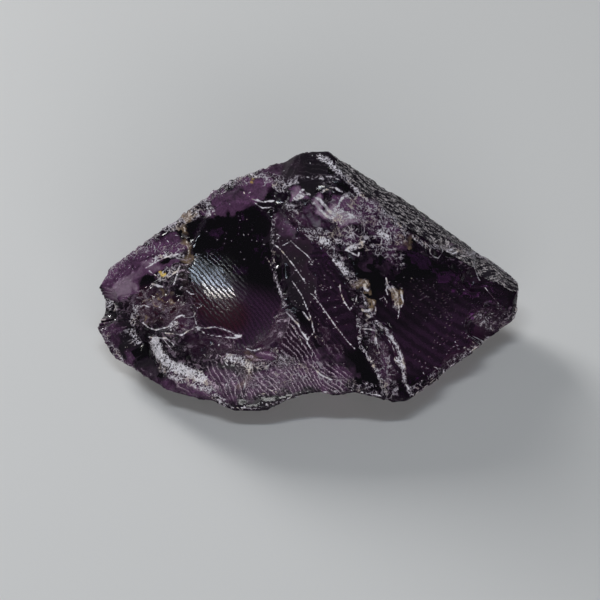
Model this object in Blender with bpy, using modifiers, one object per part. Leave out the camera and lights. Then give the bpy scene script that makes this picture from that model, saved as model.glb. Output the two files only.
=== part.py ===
"""A piece of rough amethyst, as it was broken: one stone with flat and shell-like fracture faces.

The stone starts as the convex body of its outer corners. Balls are cut out of it for the hollow,
the flutes and the worn corners, the way the real faces flaked away. Its surface is then divided
evenly and given the waves of the breaks, the grooves of the natural skin, the small facets of the
crushed places and the nicks of the edges.

Frame: X along the length, Y away from the front, Z up, origin under the middle of the stone.
Numbers that end in _MM are millimetres; the mesh is in metres.
"""
import math

import bmesh
import bpy
import numpy as np
from mathutils import Vector

STONE_NAME = "rough_amethyst"
METRES_PER_MM = 0.001

# Outer corners of the stone. The longest way across it, left_top to edge_tip, is about 51 mm.
CORNERS_MM = {
    # the top, where three breaks meet
    "peak_left": (-0.4, 11.3, 21.5),
    "peak_right": (2.5, 11.4, 21.3),
    "crown_top": (3.4, 9.4, 20.5),
    "spur": (-2.2, 5.1, 18.1),
    # the rim of the thin left side
    "rim_top": (-5.1, 10.1, 19.9),
    "rim_mid": (-9.6, 10.0, 17.8),
    "rim_left": (-17.7, 6.2, 13.4),
    "left_up": (-23.8, 4.3, 9.2),
    "left_top": (-25.2, 2.7, 7.4),
    "left_low": (-25.6, 0.0, 4.0),
    # the front foot
    "foot_far": (-23.2, -4.2, 2.3),
    "toe_left": (-16.1, -10.3, 3.0),
    "toe": (-8.5, -13.1, 2.6),
    "strip_low": (8.7, -12.8, 4.3),
    "foot_front": (11.3, -12.4, 3.5),
    "foot_right": (17.4, -6.8, 3.8),
    # the belly, above the rippled front
    "belly_left": (-12.6, -9.9, 7.4),
    "belly_mid": (-3.9, -9.6, 8.8),
    # the ridge from the top down to the foot
    "ridge_high": (2.4, 0.6, 15.7),
    "ridge_mid": (5.9, -2.8, 13.2),
    "ridge_low": (6.8, -5.8, 10.6),
    # the right end and the natural skin above it
    "band_mid": (10.7, 4.4, 15.2),
    "band_tip": (25.3, 3.8, 6.3),
    "edge_mid": (11.0, 12.3, 12.8),
    "edge_low": (23.2, 7.5, 6.5),
    "edge_tip": (25.5, 5.9, 5.6),
    "tip_step": (22.3, -1.9, 4.5),
    "tip_low": (24.8, 1.5, 3.6),
    # the back
    "back_top": (0.0, 15.5, 15.0),
    "back_right": (14.0, 12.0, 7.0),
    "back_tip": (24.0, 6.3, 3.4),
    "back_left": (-13.0, 12.5, 10.5),
    "back_far": (-22.0, 7.5, 5.5),
    # the flat break that the stone lies on
    "heel_right": (18.0, 7.5, 0.0),
    "heel_mid": (2.0, 13.0, 0.0),
    "heel_left": (-15.0, 10.0, 0.0),
    "heel_far": (-21.0, 3.0, 0.0),
    "sole_left": (-15.0, -6.0, 0.0),
    "sole_front": (-6.0, -8.0, 0.0),
    "sole_right": (10.0, -7.0, 0.0),
    "sole_tip": (18.0, -1.0, 0.0),
}

# Flakes that came away. Each is a ball drawn out along a line: its centre, its radius, the
# direction of the line, and how many times longer than wide it is.
FLAKES_MM = {
    # the rippled hollow and what broke off along the rim
    "hollow": ((-21.7, 9.9, 49.0), 19.24, (0.315, -0.496, -0.809), 2.51),
    "rim_flake": ((-12.4, 8.8, 17.1), 0.8, (0.88, 0.40, 0.26), 1.9),
    "peak_notch": ((-3.2, 10.7, 21.6), 1.5, (0.98, 0.0, 0.21), 1.1),
    # the crags of the left end
    "crag_low": ((-10.8, -8.7, 9.5), 1.5, (0.99, 0.0, 0.15), 2.9),
    "crag_foot": ((-16.6, -8.3, 7.5), 1.9, (0.73, -0.68, 0.05), 2.8),
    "lobe_trough": ((-20.5, -6.0, 5.8), 2.2, (0.52, -0.80, -0.28), 3.4),
    "end_notch": ((-24.3, 0.7, 6.0), 1.0, (0.76, -0.59, 0.28), 1.3),
    # the long flutes between the hollow and the ridge
    "flute_left": ((-1.4, -8.1, 19.3), 8.0, (0.41, -0.79, -0.45), 3.4),
    "flute_right": ((3.5, -10.6, 17.9), 8.5, (0.47, -0.66, -0.59), 2.9),
    # the crushed foot of the ridge and the worn corners of the dark mirror face
    "strip_crush": ((8.8, -9.7, 8.3), 1.5, (0.32, -0.67, -0.67), 3.9),
    "tip_flake": ((22.9, -1.9, 6.8), 2.6, (0.89, 0.35, -0.29), 1.7),
    "foot_chip": ((17.6, -7.0, 4.2), 1.1, (0.82, 0.54, 0.17), 2.5),
    # the front, where it overhangs
    "apron_flake": ((-6.0, -10.7, 8.7), 1.3, (1.0, 0.0, 0.09), 2.3),
    "front_gap": ((3.5, -16.6, -5.4), 11.0, (1.0, 0.0, 0.0), 1.25),
    # the back
    "back_flake_right": ((11.0, 25.6, 11.0), 13.6, (0.8, -0.5, -0.2), 1.3),
    "back_flake_left": ((-11.0, 23.0, 9.0), 11.5, (0.9, 0.4, 0.1), 1.4),
    "back_flake_top": ((-4.0, 21.5, 21.0), 8.0, (1.0, 0.2, -0.1), 1.6),
    "heel_flake": ((-2.0, 21.5, -4.0), 10.5, (1.0, 0.0, 0.0), 1.3),
}

# Places where the stone is crushed into small facets: how far the crushing reaches from its
# middle line, how strong it is, and the line.
CRUSHED_MM = {
    "crags": (2.4, 1.0, ((-21.4, -1.4, 6.3), (-18.9, -1.9, 8.6), (-16.7, -1.7, 9.9), (-15.0, -4.2, 9.5),
                         (-14.2, -6.6, 8.7), (-13.9, -8.4, 7.8), (-17.2, -6.6, 6.6))),
    "lobe_edge": (0.9, 0.5, ((-24.5, 0.5, 3.8), (-23.7, -2.1, 3.5), (-21.9, -4.6, 2.9), (-19.5, -7.0, 2.8))),
    "left_lip": (0.8, 0.6, ((-24.1, 3.6, 8.7), (-19.8, 5.3, 12.0), (-16.9, 6.0, 13.6), (-14.9, 6.4, 14.7))),
    "upper_lip": (0.8, 0.6, ((-14.8, 7.1, 15.2), (-10.5, 9.2, 17.4), (-8.3, 9.4, 18.3), (-5.7, 9.4, 19.4))),
    "crown": (1.7, 0.9, ((-2.1, 5.6, 18.6), (1.5, 5.2, 18.6), (4.0, 5.3, 18.3), (4.9, 4.2, 17.5),
                         (3.2, 3.1, 17.0))),
    "crown_right": (1.8, 0.5, ((6.0, 4.9, 17.4), (7.9, 4.6, 16.6), (9.8, 3.6, 15.0))),
    "band_high": (0.8, 0.7, ((-5.8, 9.7, 19.6), (-3.4, 7.0, 18.9), (-2.0, 4.4, 18.0), (0.1, 2.2, 16.9))),
    "band_low": (0.8, 0.7, ((0.1, 2.2, 16.9), (3.6, -0.2, 15.3), (4.7, -2.2, 13.9), (6.7, -5.8, 10.7))),
    "strip": (1.0, 0.9, ((6.6, -5.7, 10.7), (7.5, -7.9, 8.8), (8.4, -9.5, 6.9), (9.5, -12.4, 4.5))),
    "mirror_top": (0.6, 0.6, ((10.9, 3.1, 14.3), (13.4, 3.2, 13.2), (16.1, 3.2, 11.4), (19.4, 4.1, 9.4))),
    "tip": (1.0, 0.7, ((20.8, -0.7, 4.4), (23.0, -0.1, 4.8), (24.6, 1.6, 4.8))),
    "mirror_foot": (0.6, 0.6, ((11.1, -12.0, 4.1), (14.1, -9.6, 4.0), (17.3, -5.9, 4.0), (20.9, -2.6, 4.5))),
    "front_edge": (0.5, 0.4, ((-16.2, -10.4, 3.3), (-8.3, -12.8, 3.2), (-4.6, -12.6, 3.9), (10.2, -12.4, 4.1))),
}
# The facets of the crushed places: their width and their height.
WIDE_FACET_MM = (3.4, 0.75)
MID_FACET_MM = (1.6, 0.28)
DEEPEST_FACET_MM = 0.8
HIGHEST_FACET_MM = 0.25

# The cut stone is divided into an even net this fine, given its relief, and thinned again.
CUTTER_EDGE_MM = 1.0
NET_MM = 0.42
KEPT_SHARE = 0.19
SOLE_SNAP_MM = 0.3

# Surface relief: how far it stands and how long its waves are.
FLAKE_WAVE_SHARE = 0.10
FLAKE_WAVE_MM = 0.30
FLAKE_WAVE_LENGTH_MM = 2.2
SWELL_MM = 0.16
SWELL_LENGTH_MM = 6.0
LUMP_MM = 0.26
LUMP_LENGTH_MM = 2.2
RIPPLE_MM = 0.10
RIPPLE_LENGTH_MM = 2.2
APRON_STRIKE_MM = (-8.0, -16.0, 20.0)
GROOVE_MM = 0.16
GROOVE_LENGTH_MM = 1.7
NICK_MM = 0.30
NICK_LENGTH_MM = 1.5
SQUARE_RIDGE = math.radians(50.0)

AMETHYST_COLOUR = (0.085, 0.040, 0.120, 1.0)


def mm(values):
    """A vector in metres from millimetres."""
    return Vector(values) * METRES_PER_MM


def corner(name):
    return mm(CORNERS_MM[name])


def face_normal(first, second, third):
    """The outward direction of the plane through three named corners."""
    direction = (corner(second) - corner(first)).cross(corner(third) - corner(first)).normalized()
    middle = mm((0.0, 1.0, 8.0))
    return direction if direction.dot(corner(first) - middle) > 0 else -direction


def clear_scene():
    for old in list(bpy.data.objects):
        bpy.data.objects.remove(old, do_unlink=True)


def new_collection(name):
    group = bpy.data.collections.new(name)
    bpy.context.scene.collection.children.link(group)
    return group


def amethyst_material():
    """Dark violet glass with a broken, glossy surface."""
    material = bpy.data.materials.new("amethyst")
    material.use_nodes = True
    shader = material.node_tree.nodes["Principled BSDF"]
    shader.inputs["Base Color"].default_value = AMETHYST_COLOUR
    shader.inputs["Roughness"].default_value = 0.18
    shader.inputs["Metallic"].default_value = 0.0
    shader.inputs["IOR"].default_value = 1.544
    material.diffuse_color = AMETHYST_COLOUR
    return material


def corner_body(group):
    """The convex body of the outer corners."""
    body = bmesh.new()
    for place in CORNERS_MM.values():
        body.verts.new(mm(place))
    hull = bmesh.ops.convex_hull(body, input=list(body.verts))
    loose = [item for item in hull["geom_interior"] if isinstance(item, bmesh.types.BMVert)]
    bmesh.ops.delete(body, geom=loose, context="VERTS")
    bmesh.ops.recalc_face_normals(body, faces=list(body.faces))
    mesh = bpy.data.meshes.new(STONE_NAME)
    body.to_mesh(mesh)
    body.free()
    stone = bpy.data.objects.new(STONE_NAME, mesh)
    group.objects.link(stone)
    return stone


def lattice_value(cell, seed):
    """A fixed random number from -1 to 1 for each whole-number cell."""
    x, y, z = (cell[..., axis].astype(np.int64) for axis in range(3))
    mixed = (x * 73856093) ^ (y * 19349663) ^ (z * 83492791) ^ (seed * 2654435761)
    mixed = (mixed ^ (mixed >> 13)) * 1274126177 & 0xFFFFFFFF
    mixed = (mixed ^ (mixed >> 15)) & 0xFFFFFF
    return mixed / 0x7FFFFF - 1.0


def waves(places, length, seed):
    """Smooth random waves from -1 to 1: lattice values blended between the corners of each cell."""
    scaled = places / length
    cell = np.floor(scaled)
    part = scaled - cell
    part = part * part * (3.0 - 2.0 * part)
    total = np.zeros(len(places))
    for step in np.ndindex(2, 2, 2):
        near = np.where(np.array(step) == 1, part, 1.0 - part).prod(axis=-1)
        total += near * lattice_value(cell + np.array(step), seed)
    return total


def facets(places, width, seed):
    """Small tilted facets side by side, one for each cell of a jittered lattice, with steps between.

    The height is that of the plane through the nearest cell's middle, tilted its own way, in widths.
    """
    scaled = places / width
    cell = np.floor(scaled)
    nearest = np.full(len(places), 9.0)
    owner = np.zeros_like(places)
    offset = np.zeros_like(places)
    for step in np.ndindex(3, 3, 3):
        neighbour = cell + np.array(step) - 1.0
        jitter = np.stack([lattice_value(neighbour, seed + axis) for axis in range(3)], axis=1)
        away = scaled - neighbour - 0.5 - 0.45 * jitter
        way = (away ** 2).sum(axis=1)
        closer = way < nearest
        nearest = np.where(closer, way, nearest)
        owner = np.where(closer[:, None], neighbour, owner)
        offset = np.where(closer[:, None], away, offset)
    tilt = np.stack([lattice_value(owner, seed + axis) for axis in range(3, 6)], axis=1)
    return (tilt * offset).sum(axis=1) + 0.35 * nearest


def smooth_step(low, high, value):
    """0 at low, 1 at high, and an S-curve between them."""
    share = np.clip((value - low) / (high - low), 0.0, 1.0)
    return share * share * (3.0 - 2.0 * share)


def way_to_line(places, line):
    """Distance of each place to a bent line."""
    shortest = np.full(len(places), 1e3)
    corners = np.array(line)
    for start, end in zip(corners[:-1], corners[1:]):
        along = end - start
        share = np.clip((places - start) @ along / (along @ along), 0.0, 1.0)
        away = np.linalg.norm(places - start - share[:, None] * along, axis=1)
        shortest = np.minimum(shortest, away)
    return shortest


def crushing(places):
    """How crushed each place is, from 0 to 1."""
    total = np.zeros(len(places))
    for reach, strength, line in CRUSHED_MM.values():
        cover = smooth_step(1.5 * reach, 0.6 * reach, way_to_line(places, line))
        total = np.maximum(total, strength * cover)
    return total


def facet_relief(places, crushed):
    """Height of the facets: wide ones where the crushing is strongest, and smaller ones all over it."""
    bent = places + 0.5 * np.stack([waves(places, 2.4, seed) for seed in (21, 22, 23)], axis=1)
    height = WIDE_FACET_MM[1] * smooth_step(0.55, 1.0, crushed) * facets(bent, WIDE_FACET_MM[0], 31)
    height += MID_FACET_MM[1] * smooth_step(0.25, 0.9, crushed) * facets(bent, MID_FACET_MM[0], 41)
    return np.clip(height, -DEEPEST_FACET_MM, HIGHEST_FACET_MM)


def mesh_places_mm(mesh):
    places = np.empty(len(mesh.vertices) * 3, dtype=np.float32)
    mesh.vertices.foreach_get("co", places)
    return places.reshape(-1, 3).astype(float) / METRES_PER_MM


def set_mesh_places_mm(mesh, places):
    mesh.vertices.foreach_set("co", (places * METRES_PER_MM).astype(np.float32).ravel())
    mesh.update()


def flake_cutter(name, group):
    """A drawn-out ball with an uneven surface, its facets as wide as the finished surface's."""
    centre, radius, along, stretch = FLAKES_MM[name]
    halvings = math.log2(1.05 * radius * stretch / CUTTER_EDGE_MM)
    ball = bmesh.new()
    bmesh.ops.create_icosphere(ball, subdivisions=max(3, round(1 + halvings)), radius=radius * METRES_PER_MM)
    mesh = bpy.data.meshes.new(name)
    ball.to_mesh(mesh)
    ball.free()
    line = np.array(along) / np.linalg.norm(along)
    outward = mesh_places_mm(mesh)
    drawn = outward + np.outer(outward @ line, line) * (stretch - 1.0)
    height = min(FLAKE_WAVE_MM, FLAKE_WAVE_SHARE * radius)
    uneven = 1.0 + height / radius * waves(drawn + np.array(centre), FLAKE_WAVE_LENGTH_MM, 3)
    set_mesh_places_mm(mesh, drawn * uneven[:, None] + np.array(centre))
    cutter = bpy.data.objects.new(name, mesh)
    cutter.hide_render = True
    cutter.display_type = "WIRE"
    group.objects.link(cutter)
    return cutter


def cut_flakes(stone, group):
    """Takes every flake out of the stone and keeps the cut mesh."""
    for name in FLAKES_MM:
        cut = stone.modifiers.new(name, "BOOLEAN")
        cut.operation = "DIFFERENCE"
        cut.solver = "EXACT"
        cut.object = flake_cutter(name, group)
    apply_modifiers(stone)


def apply_modifiers(stone):
    """Keeps the evaluated mesh and drops the modifiers."""
    bpy.context.view_layer.update()
    evaluated = stone.evaluated_get(bpy.context.evaluated_depsgraph_get())
    finished = bpy.data.meshes.new_from_object(evaluated)
    stone.modifiers.clear()
    stone.data = finished
    finished.name = STONE_NAME


def divide_evenly(stone):
    """A voxel net over the stone, so that its relief has points to stand on."""
    net = stone.modifiers.new("even_net", "REMESH")
    net.mode = "VOXEL"
    net.voxel_size = NET_MM * METRES_PER_MM
    net.adaptivity = 0.0
    apply_modifiers(stone)


def thin_out(stone):
    """Fewer triangles where the surface is flat."""
    stone.modifiers.new("all_triangles", "TRIANGULATE")
    thin = stone.modifiers.new("thin_out", "DECIMATE")
    thin.decimate_type = "COLLAPSE"
    thin.ratio = KEPT_SHARE
    apply_modifiers(stone)


def normals_and_ridges(mesh):
    """Each vertex's normal, and how sharp a ridge it is on: 0 on a flat face, 1 on a square edge."""
    surface = bmesh.new()
    surface.from_mesh(mesh)
    normals = np.array([vertex.normal for vertex in surface.verts])
    ridges = np.zeros(len(surface.verts))
    for edge in surface.edges:
        strength = edge.calc_face_angle_signed(0.0) / SQUARE_RIDGE
        for vertex in edge.verts:
            ridges[vertex.index] = max(ridges[vertex.index], min(1.0, strength))
    surface.free()
    return normals, ridges


def relief_mm(places, normals, ridges):
    """Height over the smooth shape: swells, lumps, ripples, grooves, facets and nicked edges."""
    skin_normal = np.array(face_normal("crown_top", "edge_mid", "band_tip"))
    apron_normal = np.array(face_normal("toe", "belly_mid", "strip_low"))
    skin_line = np.array(CORNERS_MM["edge_tip"]) - np.array(CORNERS_MM["peak_right"])
    across_skin = np.cross(skin_line / np.linalg.norm(skin_line), skin_normal)
    on_back = np.clip(normals[:, 1] + 0.2, 0.0, 1.0)
    on_apron = np.clip((normals @ apron_normal - 0.85) / 0.15, 0.0, 1.0)
    on_skin = np.clip((normals @ skin_normal - 0.8) / 0.2, 0.0, 1.0)
    from_strike = np.linalg.norm(places - np.array(APRON_STRIKE_MM), axis=1)
    height = SWELL_MM * waves(places, SWELL_LENGTH_MM, 1)
    height += LUMP_MM * (0.25 + 0.75 * on_back) * waves(places, LUMP_LENGTH_MM, 2)
    height += RIPPLE_MM * on_apron * np.sin(2.0 * np.pi * from_strike / RIPPLE_LENGTH_MM)
    height += GROOVE_MM * on_skin * np.sin(2.0 * np.pi * (places @ across_skin) / GROOVE_LENGTH_MM)
    crushed = crushing(places)
    height += facet_relief(places, crushed)
    nicks = np.clip(waves(places, NICK_LENGTH_MM, 5), 0.0, 1.0) * (1.0 - crushed)
    return height - NICK_MM * ridges * nicks


def rough_surface(stone):
    """Moves each vertex along its normal by the relief, and flattens the sole."""
    places = mesh_places_mm(stone.data)
    normals, ridges = normals_and_ridges(stone.data)
    fade = np.clip(places[:, 2] - SOLE_SNAP_MM, 0.0, 1.0)
    moved = places + normals * (relief_mm(places, normals, ridges) * fade)[:, None]
    moved[:, 2] = np.where(places[:, 2] < SOLE_SNAP_MM, 0.0, moved[:, 2])
    set_mesh_places_mm(stone.data, moved)


def build():
    clear_scene()
    part_group = new_collection(STONE_NAME)
    cutter_group = new_collection("flakes_cut_away")
    stone = corner_body(part_group)
    cut_flakes(stone, cutter_group)
    divide_evenly(stone)
    rough_surface(stone)
    thin_out(stone)
    stone.data.materials.clear()
    stone.data.materials.append(amethyst_material())


build()
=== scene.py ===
"""Looks of a piece of rough amethyst: its fine broken surface, its see-through violet and the stage.

Laid out as an add-on and run as a script. Lengths in names that end in _MM are millimetres.
"""

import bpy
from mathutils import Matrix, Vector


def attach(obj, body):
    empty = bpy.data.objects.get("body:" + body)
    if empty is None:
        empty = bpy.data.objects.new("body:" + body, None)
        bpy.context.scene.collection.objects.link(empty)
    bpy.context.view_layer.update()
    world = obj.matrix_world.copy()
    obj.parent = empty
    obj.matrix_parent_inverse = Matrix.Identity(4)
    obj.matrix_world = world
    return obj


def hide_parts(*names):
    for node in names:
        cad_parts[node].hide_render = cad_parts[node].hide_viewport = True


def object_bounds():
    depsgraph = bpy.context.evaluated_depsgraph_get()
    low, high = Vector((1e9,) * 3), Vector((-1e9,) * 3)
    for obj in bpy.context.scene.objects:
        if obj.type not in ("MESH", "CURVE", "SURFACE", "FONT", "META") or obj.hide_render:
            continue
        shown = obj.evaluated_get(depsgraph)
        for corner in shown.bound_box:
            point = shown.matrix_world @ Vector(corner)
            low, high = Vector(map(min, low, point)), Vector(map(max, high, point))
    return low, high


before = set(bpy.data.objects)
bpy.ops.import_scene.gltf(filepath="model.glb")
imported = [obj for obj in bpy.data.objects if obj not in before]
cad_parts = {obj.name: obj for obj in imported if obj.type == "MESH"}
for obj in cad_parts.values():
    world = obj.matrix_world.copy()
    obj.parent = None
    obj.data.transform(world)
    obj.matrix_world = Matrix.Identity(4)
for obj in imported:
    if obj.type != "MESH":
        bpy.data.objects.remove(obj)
CAD_BOX = [list(place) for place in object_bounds()]

import math

import bmesh
import bpy
import numpy as np
from bpy.props import FloatProperty, FloatVectorProperty, PointerProperty
from mathutils import Matrix, Vector

bl_info = {
    "name": "Rough amethyst",
    "version": (1, 0, 0),
    "blender": (4, 5, 0),
    "location": "View3D > Sidebar > Amethyst",
    "description": "Builds a broken piece of rough amethyst and a plain stage for it",
    "category": "Add Mesh",
}

STONE_NODE = "rough_amethyst"
METRES_PER_MM = 0.001
# A way in millimetres, or in widths, that is too long to matter.
FAR = 9.0
# Large numbers that mix a cell's place and a seed into a random number.
MIX_X, MIX_Y, MIX_Z, MIX_SEED, MIX_AGAIN = 73856093, 19349663, 83492791, 2654435761, 1274126177

# Outer corners of the stone, the same as those of its solid.
CORNERS_MM = {
    "peak_left": (-0.4, 11.3, 21.5),
    "peak_right": (2.5, 11.4, 21.3),
    "crown_top": (3.4, 9.4, 20.5),
    "spur": (-2.2, 5.1, 18.1),
    "rim_top": (-5.1, 10.1, 19.9),
    "rim_mid": (-9.6, 10.0, 17.8),
    "rim_left": (-17.7, 6.2, 13.4),
    "left_up": (-23.8, 4.3, 9.2),
    "left_top": (-25.2, 2.7, 7.4),
    "left_low": (-25.6, 0.0, 4.0),
    "foot_far": (-23.2, -4.2, 2.3),
    "toe_left": (-16.1, -10.3, 3.0),
    "toe": (-8.5, -13.1, 2.6),
    "strip_low": (8.7, -12.8, 4.3),
    "foot_front": (11.3, -12.4, 3.5),
    "foot_right": (17.4, -6.8, 3.8),
    "belly_left": (-12.6, -9.9, 7.4),
    "belly_mid": (-3.9, -9.6, 8.8),
    "ridge_high": (2.4, 0.6, 15.7),
    "ridge_mid": (5.9, -2.8, 13.2),
    "ridge_low": (6.8, -5.8, 10.6),
    "band_mid": (10.7, 4.4, 15.2),
    "band_tip": (25.3, 3.8, 6.3),
    "edge_mid": (11.0, 12.3, 12.8),
    "edge_low": (23.2, 7.5, 6.5),
    "edge_tip": (25.5, 5.9, 5.6),
    "tip_step": (22.3, -1.9, 4.5),
    "tip_low": (24.8, 1.5, 3.6),
    "back_top": (0.0, 15.5, 15.0),
    "back_right": (14.0, 12.0, 7.0),
    "back_tip": (24.0, 6.3, 3.4),
    "back_left": (-13.0, 12.5, 10.5),
    "back_far": (-22.0, 7.5, 5.5),
    "heel_right": (18.0, 7.5, 0.0),
    "heel_mid": (2.0, 13.0, 0.0),
    "heel_left": (-15.0, 10.0, 0.0),
    "heel_far": (-21.0, 3.0, 0.0),
    "sole_left": (-15.0, -6.0, 0.0),
    "sole_front": (-6.0, -8.0, 0.0),
    "sole_right": (10.0, -7.0, 0.0),
    "sole_tip": (18.0, -1.0, 0.0),
}

# Flakes that came away, the same as those cut from its solid: a ball's centre and radius, the
# line it is drawn out along, and how many times longer than wide it is.
FLAKES_MM = {
    "hollow": ((-21.7, 9.9, 49.0), 19.24, (0.315, -0.496, -0.809), 2.51),
    "rim_flake": ((-12.4, 8.8, 17.1), 0.8, (0.88, 0.40, 0.26), 1.9),
    "peak_notch": ((-3.2, 10.7, 21.6), 1.5, (0.98, 0.0, 0.21), 1.1),
    "crag_low": ((-10.8, -8.7, 9.5), 1.5, (0.99, 0.0, 0.15), 2.9),
    "crag_foot": ((-16.6, -8.3, 7.5), 1.9, (0.73, -0.68, 0.05), 2.8),
    "lobe_trough": ((-20.5, -6.0, 5.8), 2.2, (0.52, -0.80, -0.28), 3.4),
    "end_notch": ((-24.3, 0.7, 6.0), 1.0, (0.76, -0.59, 0.28), 1.3),
    "flute_left": ((-1.4, -8.1, 19.3), 8.0, (0.41, -0.79, -0.45), 3.4),
    "flute_right": ((3.5, -10.6, 17.9), 8.5, (0.47, -0.66, -0.59), 2.9),
    "strip_crush": ((8.8, -9.7, 8.3), 1.5, (0.32, -0.67, -0.67), 3.9),
    "tip_flake": ((22.9, -1.9, 6.8), 2.6, (0.89, 0.35, -0.29), 1.7),
    "foot_chip": ((17.6, -7.0, 4.2), 1.1, (0.82, 0.54, 0.17), 2.5),
    "apron_flake": ((-6.0, -10.7, 8.7), 1.3, (1.0, 0.0, 0.09), 2.3),
    "front_gap": ((3.5, -16.6, -5.4), 11.0, (1.0, 0.0, 0.0), 1.25),
    "back_flake_right": ((11.0, 25.6, 11.0), 13.6, (0.8, -0.5, -0.2), 1.3),
    "back_flake_left": ((-11.0, 23.0, 9.0), 11.5, (0.9, 0.4, 0.1), 1.4),
    "back_flake_top": ((-4.0, 21.5, 21.0), 8.0, (1.0, 0.2, -0.1), 1.6),
    "heel_flake": ((-2.0, 21.5, -4.0), 10.5, (1.0, 0.0, 0.0), 1.3),
}

# Three corners that name each large break. Hull planes that face the same way belong to it.
BREAKS = {
    "mirror": ("band_mid", "ridge_low", "tip_step"),
    "skin": ("crown_top", "edge_mid", "band_tip"),
    "apron": ("toe", "belly_mid", "strip_low"),
    "middle": ("spur", "ridge_low", "belly_mid"),
    "peak": ("peak_left", "spur", "crown_top"),
    "crown": ("crown_top", "ridge_high", "band_mid"),
    "slope": ("rim_mid", "rim_left", "spur"),
}
SAME_BREAK = math.cos(math.radians(13.0))
# A place inside the stone.
INSIDE_MM = np.array((0.0, 1.0, 8.0))
# A ray that meets a plane less steeply than this doesn't leave through it.
LEAST_STEEPNESS = 1e-4
# Faces with hardly any lumps.
CALM = ("mirror", "hollow", "flute_left", "flute_right")

# Ripples of a break: where it was struck, how far apart the ripples are, how high they stand.
RIPPLES_MM = {
    "hollow": ((-46.1, -25.7, -6.0), 0.47, 0.0),
    "apron": ((20.0, -3.5, 18.0), 0.50, 0.034),
    "peak": ((-2.0, -30.0, 24.0), 0.42, 0.0),
    "mirror": ((26.0, 16.0, 18.0), 1.30, 0.004),
    "middle": ((24.0, 8.0, 24.0), 0.52, 0.006),
    "slope": ((-20.0, 18.0, 22.0), 0.90, 0.004),
    "crown": ((12.0, -8.0, 30.0), 0.70, 0.022),
}
OTHER_RIPPLE_MM = ((0.0, 0.0, 40.0), 0.95, 0.004)
# How far ripples stray from their rings, the finer bends' share of that, and the share of their
# height that comes and goes.
RIPPLE_WANDER_MM = 0.9
FINE_WANDER_SHARE = 0.22
RIPPLE_PATCH_SHARE = 0.4

# Heights of the swells, lumps, flakes' waves, grit and grooves, and the lengths of the grooves.
SWELL_MM = 0.16
LUMP_MM = 0.26
FLAKE_WAVE_MM = 0.30
GRIT_MM = 0.07
GROOVE_MM = 0.10
GROOVE_LENGTH_MM = 1.7
FINE_GROOVE_MM = 0.04
FINE_GROOVE_LENGTH_MM = 0.55
GROOVE_BEND_MM = 0.3
# The lumps' share on the shown side, and what calm faces lose of their lumps and of their
# ripples' bends, and the hollow of its swells.
SHOWN_LUMPS = 0.22
CALM_LUMP_LOSS = 0.8
CALM_BEND_LOSS = 0.7
HOLLOW_SWELL_LOSS = 0.85
# Where along +Y the lumps of the far side start and are full.
FAR_LUMPS_MM = (6.0, 12.0)
# How far apart neighbouring surfaces read their waves, so that no two are alike.
SURFACE_SHIFT_MM = np.array((3.7, 5.3, 7.9))
# How high above the flat break the relief, and then the chips, start and are full.
RELIEF_FROM_MM = (0.3, 1.3)
CHIPS_FROM_MM = (0.3, 1.0)

# Layers of random waves: the length of each in millimetres, and its seed.
LAYERS = {
    "swell": (6.0, 1),
    "lump": (2.2, 2),
    "flake": (2.2, 3),
    "grit": (0.8, 4),
    "wander": (4.5, 6),
    "fine_wander": (1.4, 7),
    "ripple_patch": (3.2, 8),
    "groove_bend": (3.0, 9),
    "chip": (0.9, 11),
    "facet_bend": (2.4, 21),
    "edge_patch": (0.7, 63),
    "ridge_patch": (2.0, 65),
    "dust_cloud": (3.5, 66),
    "mark_bend": (1.6, 71),
    "fine_mark_bend": (0.6, 73),
}

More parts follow.
